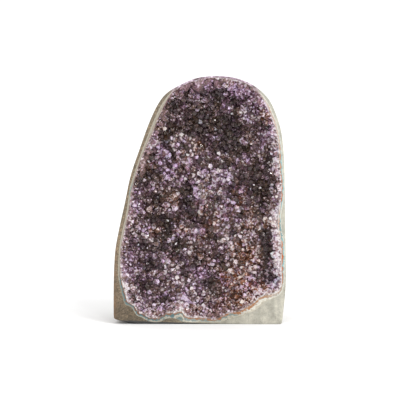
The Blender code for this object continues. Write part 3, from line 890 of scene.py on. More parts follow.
def grown_points(floor, pitch, material):
    """The mesh of the quartz points on a floor, about a pitch apart, before they are joined."""
    rng = random.Random(POINT_SEED)
    shapes = bpy.data.collections.new("quartz_points")
    for number in range(POINT_SHAPES):
        shapes.objects.link(bpy.data.objects.new(f"quartz_point_{number}", quartz_point(rng)))
    tree = druse_tree(material)
    grower = floor.modifiers.new("druse", "NODES")
    grower.node_group = tree
    values = {
        "Points": shapes, "Pitch": pitch, "Smallest": POINT_SIZES[0],
        "Largest": POINT_SIZES[1], "Tilt": POINT_TILT, "Facing": POINT_FACING, "Seed": POINT_SEED,
    }
    for socket in tree.interface.items_tree:
        if socket.name in values:
            grower[socket.identifier] = values[socket.name]
    ready = floor.evaluated_get(bpy.context.evaluated_depsgraph_get())
    mesh = bpy.data.meshes.new_from_object(ready)
    floor.modifiers.remove(grower)
    for thing in list(shapes.objects):
        bpy.data.objects.remove(thing)
    bpy.data.collections.remove(shapes)
    return mesh


def read_attribute(mesh, name):
    values = np.empty(len(mesh.attributes[name].data), dtype=np.float32)
    mesh.attributes[name].data.foreach_get("value", values)
    return values


def split_apart(mesh):
    """Meshes of crystals that don't touch each other, every crystal's (x, z) place, and what turns
    a point of space into how far it is up each crystal, from 0 at its foot to 1 at its tip."""
    points = coordinates(mesh)
    heights = read_attribute(mesh, "up")
    numbers = read_attribute(mesh, "crystal") + LAYER_STEP * np.rint(read_attribute(mesh, "layer"))
    numbers = np.unique(np.rint(numbers), return_inverse=True)[1]
    order = np.argsort(numbers, kind="stable")
    starts = np.searchsorted(numbers[order], np.arange(numbers.max() + 2))
    middles, reaches, climbs = [], [], []
    for first, last in zip(starts, starts[1:]):
        own = points[order[first:last]]
        known = np.column_stack([own, np.ones(len(own))])
        climbs.append(np.linalg.lstsq(known, heights[order[first:last]], rcond=None)[0])
        middle = (own.min(axis=0) + own.max(axis=0)) / 2
        middles.append(middle)
        reaches.append(np.linalg.norm(own - middle, axis=1).max())
    middles, reaches = np.array(middles), np.array(reaches)
    group_of = np.full(len(middles), -1)
    for i, (middle, reach) in enumerate(zip(middles, reaches)):
        near = np.linalg.norm(middles[:i] - middle, axis=1) < reaches[:i] + reach
        taken = set(group_of[:i][near])
        group_of[i] = next(group for group in itertools.count() if group not in taken)
    facets = read_attribute(mesh, "facet")
    members = [[] for _ in range(group_of.max() + 1)]
    for polygon, facet in zip(mesh.polygons, facets):
        number = numbers[polygon.vertices[0]]
        members[group_of[number]].append((number, facet, tuple(polygon.vertices)))
    groups = []
    for group in members:
        used = sorted({corner for *_, corners in group for corner in corners})
        renumbered = {old: new for new, old in enumerate(used)}
        faces = [[renumbered[corner] for corner in corners] for *_, corners in group]
        part = bpy.data.meshes.new("apart")
        part.from_pydata(points[used].tolist(), [], faces)
        write_attribute(part, "crystal", [number for number, *_ in group], "FACE")
        write_attribute(part, "facet", [facet for _, facet, _ in group], "FACE")
        groups.append(part)
    return groups, middles[:, [0, 2]], np.array(climbs)


def mark_bare(mesh):
    """Marks the faces of a mesh as no crystal's."""
    for name in ("crystal", "facet"):
        write_attribute(mesh, name, np.full(len(mesh.polygons), -1), "FACE")


def joined(mesh, others):
    """A mesh after Booleans with other meshes, given as pairs of operation and mesh."""
    whole = add_piece("joining", mesh)
    cutters = []
    for operation, other in others:
        cutter = add_piece("joining_with", other)
        cut = whole.modifiers.new("join", "BOOLEAN")
        cut.operation, cut.object, cut.solver = operation, cutter, "MANIFOLD"
        cutters.append(cutter)
    ready = whole.evaluated_get(bpy.context.evaluated_depsgraph_get())
    made = bpy.data.meshes.new_from_object(ready)
    for thing in (whole, *cutters):
        bpy.data.objects.remove(thing)
    return made


def keep_largest_part(mesh):
    """Removes all but the largest connected part of a mesh: the small closed shells that Booleans
    leave behind its skin."""
    work = bmesh.new()
    work.from_mesh(mesh)
    seen = set()
    parts = []
    for start in work.verts:
        if start in seen:
            continue
        seen.add(start)
        part = [start]
        for vertex in part:
            for edge in vertex.link_edges:
                other = edge.other_vert(vertex)
                if other not in seen:
                    seen.add(other)
                    part.append(other)
        parts.append(part)
    parts.sort(key=len)
    shells = [vertex for part in parts[:-1] for vertex in part]
    bmesh.ops.delete(work, geom=shells, context="VERTS")
    work.to_mesh(mesh)
    work.free()


# Where the crystals differ from the rest: x, z, width and height in millimetres, then how much darker
# (negative) or paler (positive) they are. The darker entries on the pockets of MOUNDS are painted
# shade in those hollows.
TONES = (
    (25, 159, 14, 12, -0.32), (12, 163, 12, 9, -0.15), (15, 188, 6, 9, -0.28), (28, 182, 5, 6, -0.3),
    (-10, 184, 5, 9, -0.3), (-22, 177, 6, 5, -0.3), (-25, 158, 9, 10, -0.22), (-5, 163, 10, 12, -0.14),
    (-30, 149, 5, 6, -0.22), (-14, 143, 3, 3, -0.3), (18, 145, 13, 8, -0.22), (35, 142, 7, 4, -0.28),
    (24, 129, 7, 3, -0.26), (46, 127, 9, 5, -0.24), (47, 110, 11, 13, -0.26), (34, 118, 4, 6, -0.22),
    (57, 158, 4, 4, -0.22), (-38, 122, 9, 5, -0.2), (-46, 116, 5, 7, -0.16), (-36, 101, 8, 3, -0.28),
    (-11, 108, 4, 8, -0.24), (-9, 95, 6, 9, -0.3), (-35, 84, 12, 4, -0.3), (-26, 77, 4, 7, -0.32),
    (-17, 60, 6, 8, -0.32), (-47, 64, 7, 3, -0.26), (-33, 68, 6, 3, -0.32), (-44, 48, 6, 5, -0.45),
    (-33, 46, 6, 3, -0.28), (-45, 30, 7, 5, -0.25), (-2, 83, 6, 3, -0.15), (-1, 55, 8, 5, -0.08),
    (8, 72, 6, 5, -0.12), (6, 33, 5, 4, -0.32), (14, 53, 8, 4, -0.16), (14, 26, 6, 6, -0.2),
    (26, 25, 8, 8, -0.12), (55, 70, 6, 9, -0.28), (56, 54, 5, 9, -0.24), (58, 37, 6, 7, -1.0),
    (48, 37, 5, 4, -0.2), (42, 64, 4, 4, -0.22), (33, 48, 4, 4, -0.18), (26, 74, 4, 3, -0.26),
    (13, 101, 4, 4, -0.4), (24, 107, 3, 5, -0.2), (32, 87, 6, 4, -0.3), (-28, 18, 6, 3, -0.25),
    (-12, 41, 3, 4, -0.2), (-3, 183, 4, 5, 0.24), (33, 187, 5, 4, 0.3), (35, 173, 3, 5, 0.25),
    (40, 166, 6, 5, 0.6), (45, 185, 5, 6, 0.27), (38, 150, 4, 4, 0.15), (51, 143, 4, 3, 0.2),
    (53, 150, 6, 4, 0.12), (-20, 146, 3, 8, 0.36), (-13, 150, 7, 2, 0.24), (-6, 145, 4, 7, 0.12),
    (-7, 134, 5, 3, 0.32), (15, 133, 4, 3, 0.27), (37, 131, 9, 3, 0.32), (2, 121, 8, 5, 0.4),
    (20, 120, 7, 4, 0.4), (5, 104, 6, 5, 0.9), (2, 92, 3, 6, 0.22), (-34, 110, 9, 3, 0.2),
    (-24, 92, 5, 4, 0.3), (-14, 75, 4, 6, 0.5), (0, 74, 6, 3, 0.4), (-37, 76, 7, 4, 0.18),
    (-56, 85, 5, 6, 0.1), (-57, 52, 4, 8, 0.08), (11, 48, 4, 4, 0.32), (24, 40, 4, 3, 0.32),
    (39, 43, 5, 5, 0.42), (36, 33, 5, 5, 0.4), (23, 67, 4, 4, 0.5), (36, 82, 3, 3, 0.4),
    (40, 72, 9, 3, 0.36), (46, 59, 4, 5, 0.1), (48, 48, 6, 4, 0.2), (20, 83, 9, 11, 0.25),
    (42, 92, 6, 4, 0.12), (50, 86, 6, 5, -0.1), (-7, 37, 4, 5, 0.28), (2, 41, 3, 3, 0.24),
    (-13, 22, 8, 9, 0.3), (2, 15, 9, 9, 0.18), (-20, 35, 6, 3, 0.3), (61, 46, 4, 6, 1.0),
    (61, 29, 6, 4, 0.5), (37, 20, 6, 4, 0.48), (-29, 61, 6, 3, -0.28), (-37, 59, 4, 3, -0.2),
    (35, 138, 6, 4, -0.35), (4, 131, 6, 3, -0.2), (-15, 50, 4, 5, -0.2), (-45, 133, 5, 8, -0.42),
    (60, 68, 3, 7, 0.2), (32, 34, 12, 9, 0.28), (-4, 70, 6, 6, 0.12), (-23, 95, 6, 6, 0.12),
    (2, 152, 6, 6, -0.12), (27, 70, 5, 3, -0.3), (2, 189, 8, 5, -0.22), (9, 91, 6, 6, -0.2),
    (-57, 19, 6, 5, -0.4), (51, 92, 5, 5, -0.15), (14, 176, 6, 6, -0.22), (14, 69, 4, 4, -0.2),
    (29, 11, 9, 4, -0.15), (20, 117, 5, 4, 0.4), (27, 193, 5, 4, 0.75), (31, 53, 5, 5, 0.14),
    (-57, 40, 4, 5, 0.2), (-16, 115, 5, 4, 0.2), (-29, 51, 4, 4, 0.2), (-9, 57, 5, 5, 0.2),
    (-45, 69, 5, 4, 0.2), (28, 90, 4, 4, 0.15), (-17, 140, 4, 4, 0.2), (20, 29, 4, 4, 0.15),
    (-32, 12, 5, 4, 0.3), (-54, 94, 4, 5, 0.4), (-59, 34, 4, 5, 0.2), (59, 88, 5, 8, 0.18),
    (-41, 11, 5, 4, 0.2), (61, 104, 4, 5, 0.2), (18, 20, 6, 4, 0.2), (54, 81, 4, 5, 0.15),
    (-27, 70, 5, 3, -0.25), (19, 127, 7, 3, -0.25), (-14, 124, 5, 4, -0.22), (25, 139, 5, 3, -0.2),
    (-14, 190, 6, 4, 0.15), (34, 192, 5, 4, 0.38), (64, 66, 3, 6, 0.18), (24, 5, 6, 3, -0.3),
    (17, 13, 5, 3, 0.14), (7, 194, 7, 4, 0.42), (-22, 110, 9, 9, 0.05), (37, 17, 5, 4, 0.62),
    (-42, 63, 6, 4, -0.12), (-47, 16, 5, 4, -0.1), (34, 70, 6, 4, 0.22), (60, 153, 4, 5, 0.2),
    (-37, 128, 4, 6, 0.2), (19, 62, 5, 5, 0.2), (61, 87, 4, 5, 0.15), (62, 127, 3, 5, 0.2),
    (26, 57, 5, 4, 0.1), (38, 123, 6, 7, 0.13), (1, 37, 6, 4, 0.28), (-25, 138, 5, 8, -0.32),
    (59, 56, 4, 6, -0.65), (-39, 148, 4, 5, 0.45), (-19, 18, 4, 4, 0.4), (1, 168, 5, 5, -0.2),
    (57, 131, 4, 5, -0.22), (-42, 23, 4, 4, 0.22), (-31, 57, 4, 4, -0.2), (60, 112, 4, 5, -0.2),
    (20, 36, 5, 4, 0.2), (61, 147, 4, 5, 0.2), (53, 171, 4, 4, 0.2), (7, 63, 6, 6, 0.15),
    (-8, 30, 4, 3, -0.18), (-36, 43, 4, 3, -0.2), (-55, 76, 4, 4, 0.15), (-6, 79, 4, 3, -0.2),
    (-38, 15, 4, 4, -0.18), (9, 111, 4, 4, -0.17), (-8, 50, 4, 5, 0.15), (21, 45, 4, 4, -0.16),
    (60, 137, 4, 4, -0.16), (41, 177, 4, 4, -0.16), (-34, 162, 4, 4, 0.16), (-45, 9, 7, 4, -0.15),
    (-50, 23, 4, 4, 0.18), (-56, 68, 4, 5, -0.15), (-30, 137, 4, 5, 0.3), (-34, 115, 6, 6, 0.1),
    (-10, 121, 6, 6, 0.1), (-5, 150, 4, 4, -0.15), (45, 78, 7, 5, 0.08), (-6, 77, 8, 5, 0.08),
    (-18, 131, 4, 4, 0.15), (-47, 53, 4, 4, 0.15), (53, 119, 4, 5, 0.16), (8, 125, 4, 4, -0.15),
    (-10, 174, 8, 9, 0.08), (41, 107, 8, 8, 0.08), (26, 49, 8, 6, 0.08), (1, 49, 5, 5, -0.17),
    (2, 41, 8, 4, 0.1), (45, 33, 5, 5, 0.16), (20, 104, 4, 4, 0.15), (-44, 35, 4, 4, 0.12),
    (46, 134, 9, 8, 0.13), (12, 152, 6, 6, 0.13), (20, 175, 7, 7, 0.13), (-11, 138, 4, 4, -0.15),
    (25, 61, 4, 4, -0.18), (38, 185, 4, 4, -0.12), (28, 99, 4, 4, -0.13),
)

# Uneven growth makes some patches paler than others: their size and how much
TONE_NOISE = ((10 * MM, 0.25), (5 * MM, 0.2))

# The same for how purple or brown they are
HUE_NOISE = ((20 * MM, 0.7), (8 * MM, 0.6))

# Chains of paler crystals: from x, z to x, z, then width and strength
RIDGES = (
    (-36, 144, -26, 134, 2.4, 0.4), (-28, 120, -10, 133, 2.6, 0.28), (11, 112, 30, 92, 2.6, 0.34),
    (10, 99, 18, 87, 2.4, 0.24), (-51, 79, -41, 69, 2.4, 0.26), (-38, 66, -30, 57, 2.0, 0.16),
    (-28, 53, -18, 38, 2.8, 0.42), (-8, 38, -2, 22, 2.2, 0.26), (22, 76, 37, 60, 2.4, 0.14),
    (-33, 63, -10, 75, 2.2, 0.18), (20, 58, 32, 40, 2.4, 0.16),
)

# Crystals that iron has stained: x, z, width, height, strength
STAINS = (
    (-25, 99, 7, 6, 0.9), (-13, 76, 5, 5, 0.9), (2, 95, 5, 7, 0.8), (11, 84, 8, 9, 0.6),
    (41, 83, 7, 8, 0.8), (33, 58, 7, 8, 1.0), (41, 51, 8, 9, 1.0), (30, 36, 9, 8, 1.2),
    (42, 30, 9, 6, 1.0), (23, 17, 9, 6, 0.8), (38, 18, 10, 6, 0.9), (0, 142, 6, 6, 0.9),
    (54, 168, 5, 7, 0.8), (-44, 131, 5, 7, 0.8), (-13, 187, 7, 5, 0.35), (2, 70, 6, 8, 0.5),
    (-36, 75, 6, 5, 0.5), (57, 84, 6, 6, 0.5), (31, 106, 6, 6, 0.4), (-25, 52, 6, 5, 0.4),
    (-35, 153, 6, 6, 0.5), (58, 98, 4, 8, 0.4), (-30, 178, 6, 6, 0.35), (52, 26, 6, 4, 0.8),
    (-9, 10, 8, 4, 0.7), (18, 38, 5, 6, 0.5), (15, 10, 8, 4, 0.5), (-55, 81, 4, 5, 0.4),
    (23, 195, 4, 3, 0.8), (31, 19, 10, 7, 0.7), (29, 33, 9, 6, 0.4), (40, 68, 9, 12, 0.35),
    (33, 96, 8, 11, 0.35), (-35, 9, 6, 4, 0.5), (-28, 157, 9, 7, 0.3), (-12, 130, 8, 10, 0.3),
    (-42, 137, 6, 8, 0.2), (31, 28, 13, 10, 0.95), (40, 60, 12, 6, 0.25), (60, 53, 4, 8, 0.5),
    (-36, 70, 6, 6, 0.4), (5, 50, 9, 8, 0.3), (-23, 97, 4, 4, 0.4), (-21, 139, 6, 9, 0.3),
    (-9, 106, 4, 5, 0.3), (24, 90, 8, 8, 0.25),
)

# Crystals of a fuller purple
PURPLES = (
    (31, 192, 9, 6, 1.3), (4, 193, 8, 5, 0.8), (40, 184, 6, 6, 0.8), (23, 179, 7, 7, 0.7),
    (53, 153, 6, 7, 0.9), (-32, 140, 6, 8, 1.2), (-25, 122, 6, 8, 0.6), (18, 117, 8, 7, 0.9),
    (2, 122, 7, 6, 0.6), (25, 98, 5, 8, 0.8), (-50, 98, 6, 7, 0.7), (-55, 90, 5, 9, 0.7),
    (-2, 76, 6, 5, 0.9), (-52, 59, 8, 10, 0.7), (-59, 44, 5, 10, 0.7), (-32, 40, 7, 9, 0.7),
    (-14, 46, 6, 8, 0.8), (3, 40, 7, 6, 1.4), (58, 49, 4, 9, 0.9), (60, 35, 5, 5, 0.8),
    (-44, 19, 10, 7, 0.6), (-18, 27, 8, 6, 0.5), (-4, 22, 8, 6, 0.5), (-14, 141, 5, 7, 0.5),
    (56, 34, 6, 3, 0.9), (-5, 132, 5, 5, 0.7), (59, 109, 4, 7, 0.6), (-48, 80, 6, 5, 0.6),
    (58, 160, 4, 6, 0.6), (-10, 130, 12, 8, 0.6), (-36, 152, 7, 8, 0.6), (49, 179, 7, 7, 0.6),
    (-16, 68, 6, 6, 0.5), (42, 176, 8, 6, 0.4), (25, 176, 8, 6, 0.4), (-44, 75, 7, 6, 0.4),
    (2, 193, 12, 4, 0.4), (-28, 130, 8, 10, 0.4), (-19, 75, 8, 6, 0.4), (-48, 36, 7, 5, 0.5),
    (21, 170, 6, 5, 0.4), (46, 186, 6, 5, 0.4), (-5, 70, 5, 5, 0.4), (-8, 190, 11, 5, 0.8),
    (6, 195, 11, 4, 0.7), (14, 186, 9, 6, 0.5), (54, 163, 6, 7, 0.5), (52, 152, 5, 5, 0.3),
    (36, 193, 7, 5, 0.6), (5, 175, 8, 6, 0.3), (51, 169, 9, 12, 0.3), (8, 167, 9, 7, 0.4),
    (-1, 193, 6, 4, 0.4), (-49, 30, 7, 7, 0.4), (4, 34, 7, 7, 0.3), (-23, 184, 8, 6, 0.6),
    (0, 193, 12, 5, 0.5), (38, 192, 5, 4, 0.3),
)

# Where neighbouring crystals differ less: x, z, width, height, and by how much
CALM = (
    (45, 47, 12, 14, 0.35), (44, 29, 10, 6, 0.35), (24, 49, 6, 6, 0.3), (10, 49, 6, 6, 0.25),
    (-26, 155, 7, 8, 0.35), (6, 165, 12, 8, 0.2), (-3, 139, 5, 5, 0.2), (-20, 62, 6, 6, 0.25),
    (-29, 78, 6, 6, 0.2),
)

# Where single crystals stand that are paler with many facets painted white as glints, x and z: the
# crystal nearest to each place is one of them
GLINTING_CRYSTALS = (
    (36, 82), (23, 67.5), (44, 72), (16, 134.5), (24, 134.5), (61, 130.5), (3, 14), (40, 166),
    (42, 162), (36, 150), (38, 147), (-14, 12), (-18, 10), (-9, 15), (-22, 149), (-31, 158),
    (-34, 92), (9, 124), (-29, 40), (60, 150), (50, 172), (-10, 115), (26, 60), (-52, 45),
    (2, 104), (6, 102), (4, 106), (19, 105), (-14, 151), (-11, 148), (40, 130), (56, 152),
    (24, 193), (18, 195), (31, 193), (8, 194),
)

# Tones, from 0 for the darkest to 1 for white. A crystal's is the least tone, a random share of the
# spread, and what the blotches and ridges add, each made this much stronger.
LEAST_TONE = 0.156
TONE_SPREAD = 0.42
BLOTCH_STRENGTH = 1.5
RIDGE_STRENGTH = 1.3
TONE_LIMITS = (0.02, 0.8)
GLINTING_CRYSTAL_TONE = 0.6

# The share of the facets painted white as glints: of most crystals, and of the single glinting ones
GLINTS = 0.02
GLINTING_CRYSTAL_GLINTS = 0.6

# How far inside the lining the ground quartz gives way to the crystals
GROUND_QUARTZ = (0.8 * MM, 2.2 * MM)


def blotches(places, table):
    """The sum of oval blotches at (x, z) places."""
    total = np.zeros(len(places))
    for x, z, width, height, strength in table:
        square = ((places - (x * MM, z * MM)) / (width * MM, height * MM)) ** 2
        total += strength * np.exp(-square.sum(axis=1) ** 1.5)
    return total


def ridge_tone(places):
    total = np.zeros(len(places))
    for x0, z0, x1, z1, width, strength in RIDGES:
        start, along = np.array((x0, z0)) * MM, np.array((x1 - x0, z1 - z0)) * MM
        share = np.clip((places - start) @ along / (along @ along), 0, 1)[:, None]
        distance = np.linalg.norm(places - start - share * along, axis=1)
        total += strength * np.exp(-((distance / (width * MM)) ** 2))
    return total


def rim_whiteness(points):
    """How white the quartz beside the rim is at (x, z) points: whiter where it is wide."""
    return np.clip(0.35 + 0.12 * bands_at(points)[2], 0.38, 1)


def crystal_looks(places, rng):
    """What each crystal has of its own, under the names of the attributes that the material reads, and
    the share of its facets that are painted white as glints."""
    for_tone, for_stain, for_purple, for_width, for_heart = rng.random((5, len(places)))
    patches = blotches(places, TONES)
    level = BLOTCH_STRENGTH * patches + RIDGE_STRENGTH * ridge_tone(places)
    for size, swing in TONE_NOISE:
        level += swing * np.array([noise.noise(Vector((x, 3, z)) / size) for x, z in places])
    # Crystals differ less from each other in dark places and in calm ones
    calm = blotches(places, CALM)
    lively = np.clip(0.66 + np.minimum(level, 1.6 * level) - calm, 0.15, 1)
    tone = LEAST_TONE + TONE_SPREAD * (lively * for_tone**1.5 + 0.4 * calm) + level
    grey = np.clip(-3.5 * patches, 0, 1)
    # Beside the rim, the crystals within its band of white quartz are white, some farther in
    width = bands_at(places)[2] * MM * (0.5 + 1.1 * for_width)
    white = 1 - smoothstep(0.7 * width, 1.4 * width, inward_of_rim(places))
    white *= rim_whiteness(places)
    stain = np.clip(blotches(places, STAINS) * (0.4 + for_stain) + 0.25 * for_stain**3, 0, 1)
    purple = blotches(places, PURPLES) + 1.6 * (for_purple - 0.5)
    for size, swing in HUE_NOISE:
        purple += swing * np.array([noise.noise(Vector((x, 11, z)) / size) for x, z in places])
    purple = np.clip(purple - 0.4 * stain, -1, 1)
    heart = for_heart**0.5
    glint = GLINTS * (1 + patches)
    # The crystals nearest those places get a paler tone and a large share of painted glints
    glinting_places = np.array(GLINTING_CRYSTALS) * MM
    nearest = np.linalg.norm(places[:, None] - glinting_places[None], axis=2).argmin(axis=0)
    tone[nearest] = GLINTING_CRYSTAL_TONE
    grey[nearest] = 0
    heart[nearest] = 0
    glint[nearest] = GLINTING_CRYSTAL_GLINTS
    looks = {
        "tone": np.clip(tone, *TONE_LIMITS), "stain": stain, "purple": purple, "heart": heart,
        "white": white, "lively": lively, "grey": grey,
    }
    return looks, glint


def paint_faces(mesh, numbers, places):
    """Writes each crystal's looks and each facet's painted light on its faces: facets painted lighter
    or darker as reflections, some painted white as glints. The ground quartz beside the rim and the
    crust between the crystals, which are no crystal's, get looks of their own."""
    bare = numbers < 0
    rng = np.random.default_rng(POINT_SEED)
    looks, glint = crystal_looks(places, rng)
    centres = np.empty(3 * len(mesh.polygons))
    mesh.polygons.foreach_get("center", centres)
    centres = centres.reshape(-1, 3)[:, [0, 2]]
    on_bare = {
        "tone": 0.1, "stain": 0.25, "purple": np.clip(0.1 + blotches(centres, PURPLES), -1, 1),
        "heart": 0, "white": rim_whiteness(centres), "lively": 0.5, "grey": 0,
    }
    for name, values in looks.items():
        write_attribute(mesh, name, np.where(bare, on_bare[name], values[numbers]), "FACE")
    facets = np.rint(read_attribute(mesh, "facet")).astype(int)
    # Each facet gets painted light at random: lighter or darker as a painted reflection, with less
    # spread in calm places, or 2 for a painted white glint within its crystal's glint share
    painted_facet_light = rng.random((len(places) + 1, facets.max() + 1))[numbers, facets]
    steady = np.clip(0.5 + 0.75 * looks["lively"], 0.5, 1)[numbers]
    painted_facet_light = np.where(painted_facet_light > 1 - glint[numbers], 2, 0.45 + (painted_facet_light**1.2 - 0.45) * steady)
    write_attribute(mesh, "painted_facet_light", np.where(bare, 0.5, painted_facet_light), "FACE")


def paint_corners(mesh, numbers, climbs):
    """Writes at each corner of each face how near the rim it is and how far up its crystal."""
    points = coordinates(mesh)
    corners = np.empty(len(mesh.loops), dtype=int)
    mesh.loops.foreach_get("vertex_index", corners)
    sizes = np.empty(len(mesh.polygons), dtype=int)
    mesh.polygons.foreach_get("loop_total", sizes)
    owner = np.repeat(numbers, sizes)
    at_corner = np.column_stack([points[corners], np.ones(len(corners))])
    up = (at_corner * climbs[owner]).sum(axis=1)
    inward = inward_of_rim(points[:, [0, 2]])
    beside_rim = (1 - smoothstep(*GROUND_QUARTZ, inward))[corners]
    write_attribute(mesh, "beside_rim", beside_rim, "CORNER")
    up[owner < 0] = 0.7 * beside_rim[owner < 0]
    write_attribute(mesh, "up", np.clip(up, 0, 1), "CORNER")


def add_cells(tree, place, scale):
    """Three random values for each of the cells, 1/scale metres wide, that a place falls in."""
    cells = add_node(tree, "ShaderNodeTexVoronoi", {"Vector": place, "Scale": scale})
    return add_node(tree, "ShaderNodeSeparateColor", {0: cells.outputs["Color"]}).outputs


def amethyst_material():
    """Amethyst: see-through brown-purple quartz, darker in its tips, with iron stains and cloudy
    patches. Painted shade darkens each crystal towards its foot between its neighbours, its facets are
    painted lighter or darker as reflections, and painted glints and sparks are white."""
    made, tree, shader, place = new_material("amethyst")
    tone = add_attribute(tree, "tone")
    up = add_attribute(tree, "up")
    painted_facet_light = add_attribute(tree, "painted_facet_light")
    grain = add_cells(tree, place, 900)
    cloud = add_noise(tree, place, 900, detail=4, roughness=0.65)
    up = add_math(tree, "ADD", up, add_range(tree, cloud, 0.3, 0.7, 0.14, -0.14))
    tip = add_math(tree, "MULTIPLY", add_range(tree, up, 0.62, 0.8), add_attribute(tree, "heart"))
    tone = add_math(tree, "ADD", tone, add_range(tree, cloud, 0.35, 0.7, -0.16, 0.22))
    # Painted shade darkens each crystal towards its foot between its neighbours; the heart darkens its
    # tip, the painted facet light makes facets lighter or darker as reflections, and the grain varies
    # it at random
    body = add_product(
        tree, add_range(tree, up, 0.22, 0.5, 0.42, 1.2), add_range(tree, tip, 0, 1, 1, 0.3),
        add_range(tree, painted_facet_light, 0.0, 1.0, 0.28, 2.1), add_range(tree, grain[0], 0, 1, 0.5, 1.6),
    )
    pale = add_math(tree, "MULTIPLY", tone, body)
    lively = add_attribute(tree, "lively")
    # Painted highlight: the facets with the most painted light are made lighter still
    painted_highlight = add_math(tree, "MULTIPLY", add_range(tree, painted_facet_light, 0.7, 1.0, 0.0, 0.5), lively)
    pale = add_math(tree, "ADD", pale, painted_highlight)
    # Painted glints: the facets marked as glints are painted near white
    glint = add_math(
        tree, "MULTIPLY", add_range(tree, painted_facet_light, 1.4, 1.8),
        add_range(tree, grain[0], 0.2, 0.6, 0.6, 1.1),
    )
    pale = add_math(tree, "MAXIMUM", pale, glint)
    white = add_attribute(tree, "white")
    patch = add_noise(tree, place, 260, detail=2)
    right = add_corner(tree, *add_axes(tree, place), (45, 58), (24, 34))
    # The white quartz beside the rim, with painted reflections on its facets and painted shade towards
    # the crystals' feet
    rim_quartz = add_product(
        tree, add_range(tree, painted_facet_light, 0.0, 1.0, 0.85, 1.6), white,
        add_range(tree, patch, 0.4, 0.6, 1.2, 0.62), add_range(tree, up, 0.0, 0.4, 0.6, 1.05),
        add_range(tree, right, 0, 1, 0.8, 1.25),
        add_range(tree, add_cells(tree, place, 400)[0], 0.0, 0.7, 0.6, 1.2),
        add_range(tree, grain[1], 0, 1, 0.75, 1.15),
    )
    # Painted sparks: a few small grains are painted white
    painted_sparks = add_range(tree, grain[1], 0.965, 0.975, 0.0, 1.2)
    painted_sparks = add_math(tree, "MULTIPLY", painted_sparks, lively)
    pale = add_math(tree, "MAXIMUM", pale, painted_sparks)
    pale = add_math(tree, "MAXIMUM", pale, rim_quartz, clamp=True)
    pale = add_math(tree, "MULTIPLY", pale, add_range(tree, grain[1], 0, 1, 0.82, 1.13))
    colour = add_ramp(tree, pale, (
        (0.0, (0.057, 0.036, 0.033)), (0.25, (0.19, 0.118, 0.118)), (0.5, (0.42, 0.275, 0.322)),
        (0.75, (0.77, 0.605, 0.70)), (1.0, (0.98, 0.94, 0.97)),
    ))
    massive = add_ramp(tree, pale, (
        (0.0, (0.06, 0.05, 0.045)), (0.5, (0.45, 0.39, 0.37)), (0.85, (0.95, 0.91, 0.89)),
    ))
    hue = add_math(
        tree, "ADD", add_attribute(tree, "purple"), add_range(tree, grain[2], 0, 1, -0.6, 0.6)
    )
    lilac = add_math(tree, "MULTIPLY", hue, add_range(tree, white, 0.3, 1, 1, 0.3), clamp=True)
    colour = add_mix(tree, lilac, colour, (0.87, 0.69, 0.97), "MULTIPLY")
    brown = add_math(tree, "MULTIPLY", hue, add_range(tree, pale, 0.3, 0.8, -1.0, -0.25), clamp=True)
    colour = add_mix(tree, brown, colour, (1.0, 0.88, 0.58), "MULTIPLY")
    colour = add_mix(tree, add_attribute(tree, "grey"), colour, (0.86, 0.97, 1.0), "MULTIPLY")
    beside_rim = add_attribute(tree, "beside_rim")
    colour = add_mix(tree, add_math(tree, "MULTIPLY", beside_rim, white), colour, massive)
    rusty = add_noise(tree, place, 260, detail=4)
    stain = add_product(
        tree, add_attribute(tree, "stain"), add_range(tree, rusty, 0.32, 0.52),
        add_range(tree, pale, 0.4, 0.7, 1.0, 0.18),
    )
    colour = add_mix(tree, stain, colour, (1.0, 0.53, 0.19), "MULTIPLY")
    tree.links.new(colour, shader.inputs["Base Color"])
    facets = add_node(
        tree, "ShaderNodeTexVoronoi", {"Vector": place, "Scale": 950}, distance="MANHATTAN"
    )
    fine = add_noise(tree, place, 1500, detail=2)
    tree.links.new(add_range(tree, fine, 0.3, 0.7, 0.03, 0.14), shader.inputs["Roughness"])
    shader.inputs["IOR"].default_value = 1.54
    shader.inputs["Transmission Weight"].default_value = 0.25
    absorption = add_node(
        tree, "ShaderNodeVolumeAbsorption", {"Color": (0.55, 0.35, 0.65, 1), "Density": 150.0}
    )
    output = tree.nodes["Material Output"]
    tree.links.new(absorption.outputs[0], output.inputs["Volume"])
    add_bump(tree, shader, facets.outputs["Distance"], 0.5 * MM, 0.5)
    return made


margin = rim_ring(CRUST_MARGIN, 1)
edge = rim_ring(CRUST_GAP - ALLOWANCE, 1)
dish = []
for share in 1 - np.linspace(*DISH_SPAN, DISH_ROWS) ** DISH_CROWDING:
    ring = HOLLOW_MIDDLE + share * (margin - HOLLOW_MIDDLE)
    dish.append(at_depth(ring, floor_depth(ring)))
dish_middle = np.array((HOLLOW_MIDDLE[0], floor_depth(HOLLOW_MIDDLE[None])[0], HOLLOW_MIDDLE[1]))
crust_behind = np.array((HOLLOW_MIDDLE[0], BOWL_DEPTH, HOLLOW_MIDDLE[1]))
rings = [
    at_depth(edge, BOWL_DEPTH), at_depth(edge, -ALLOWANCE), at_depth(margin, -ALLOWANCE), *dish
]
crust_mesh = outward(lofted("amethyst_crystals", crust_behind, rings, dish_middle))
mark_bare(crust_mesh)
mould_rim = rim_ring(CRUST_GAP, 1)
mould_bowl, mould_deepest = bowl_rings(mould_rim, BOWL_DEPTH - LINING_THICKNESS - 2 * CRUST_GAP)
mould_middle = np.array((HOLLOW_MIDDLE[0], 0, HOLLOW_MIDDLE[1]))
mould_rings = [*mould_bowl[::-1], at_depth(mould_rim, 0)]
mould = outward(lofted("mould", mould_deepest, mould_rings, mould_middle))
mark_bare(mould)


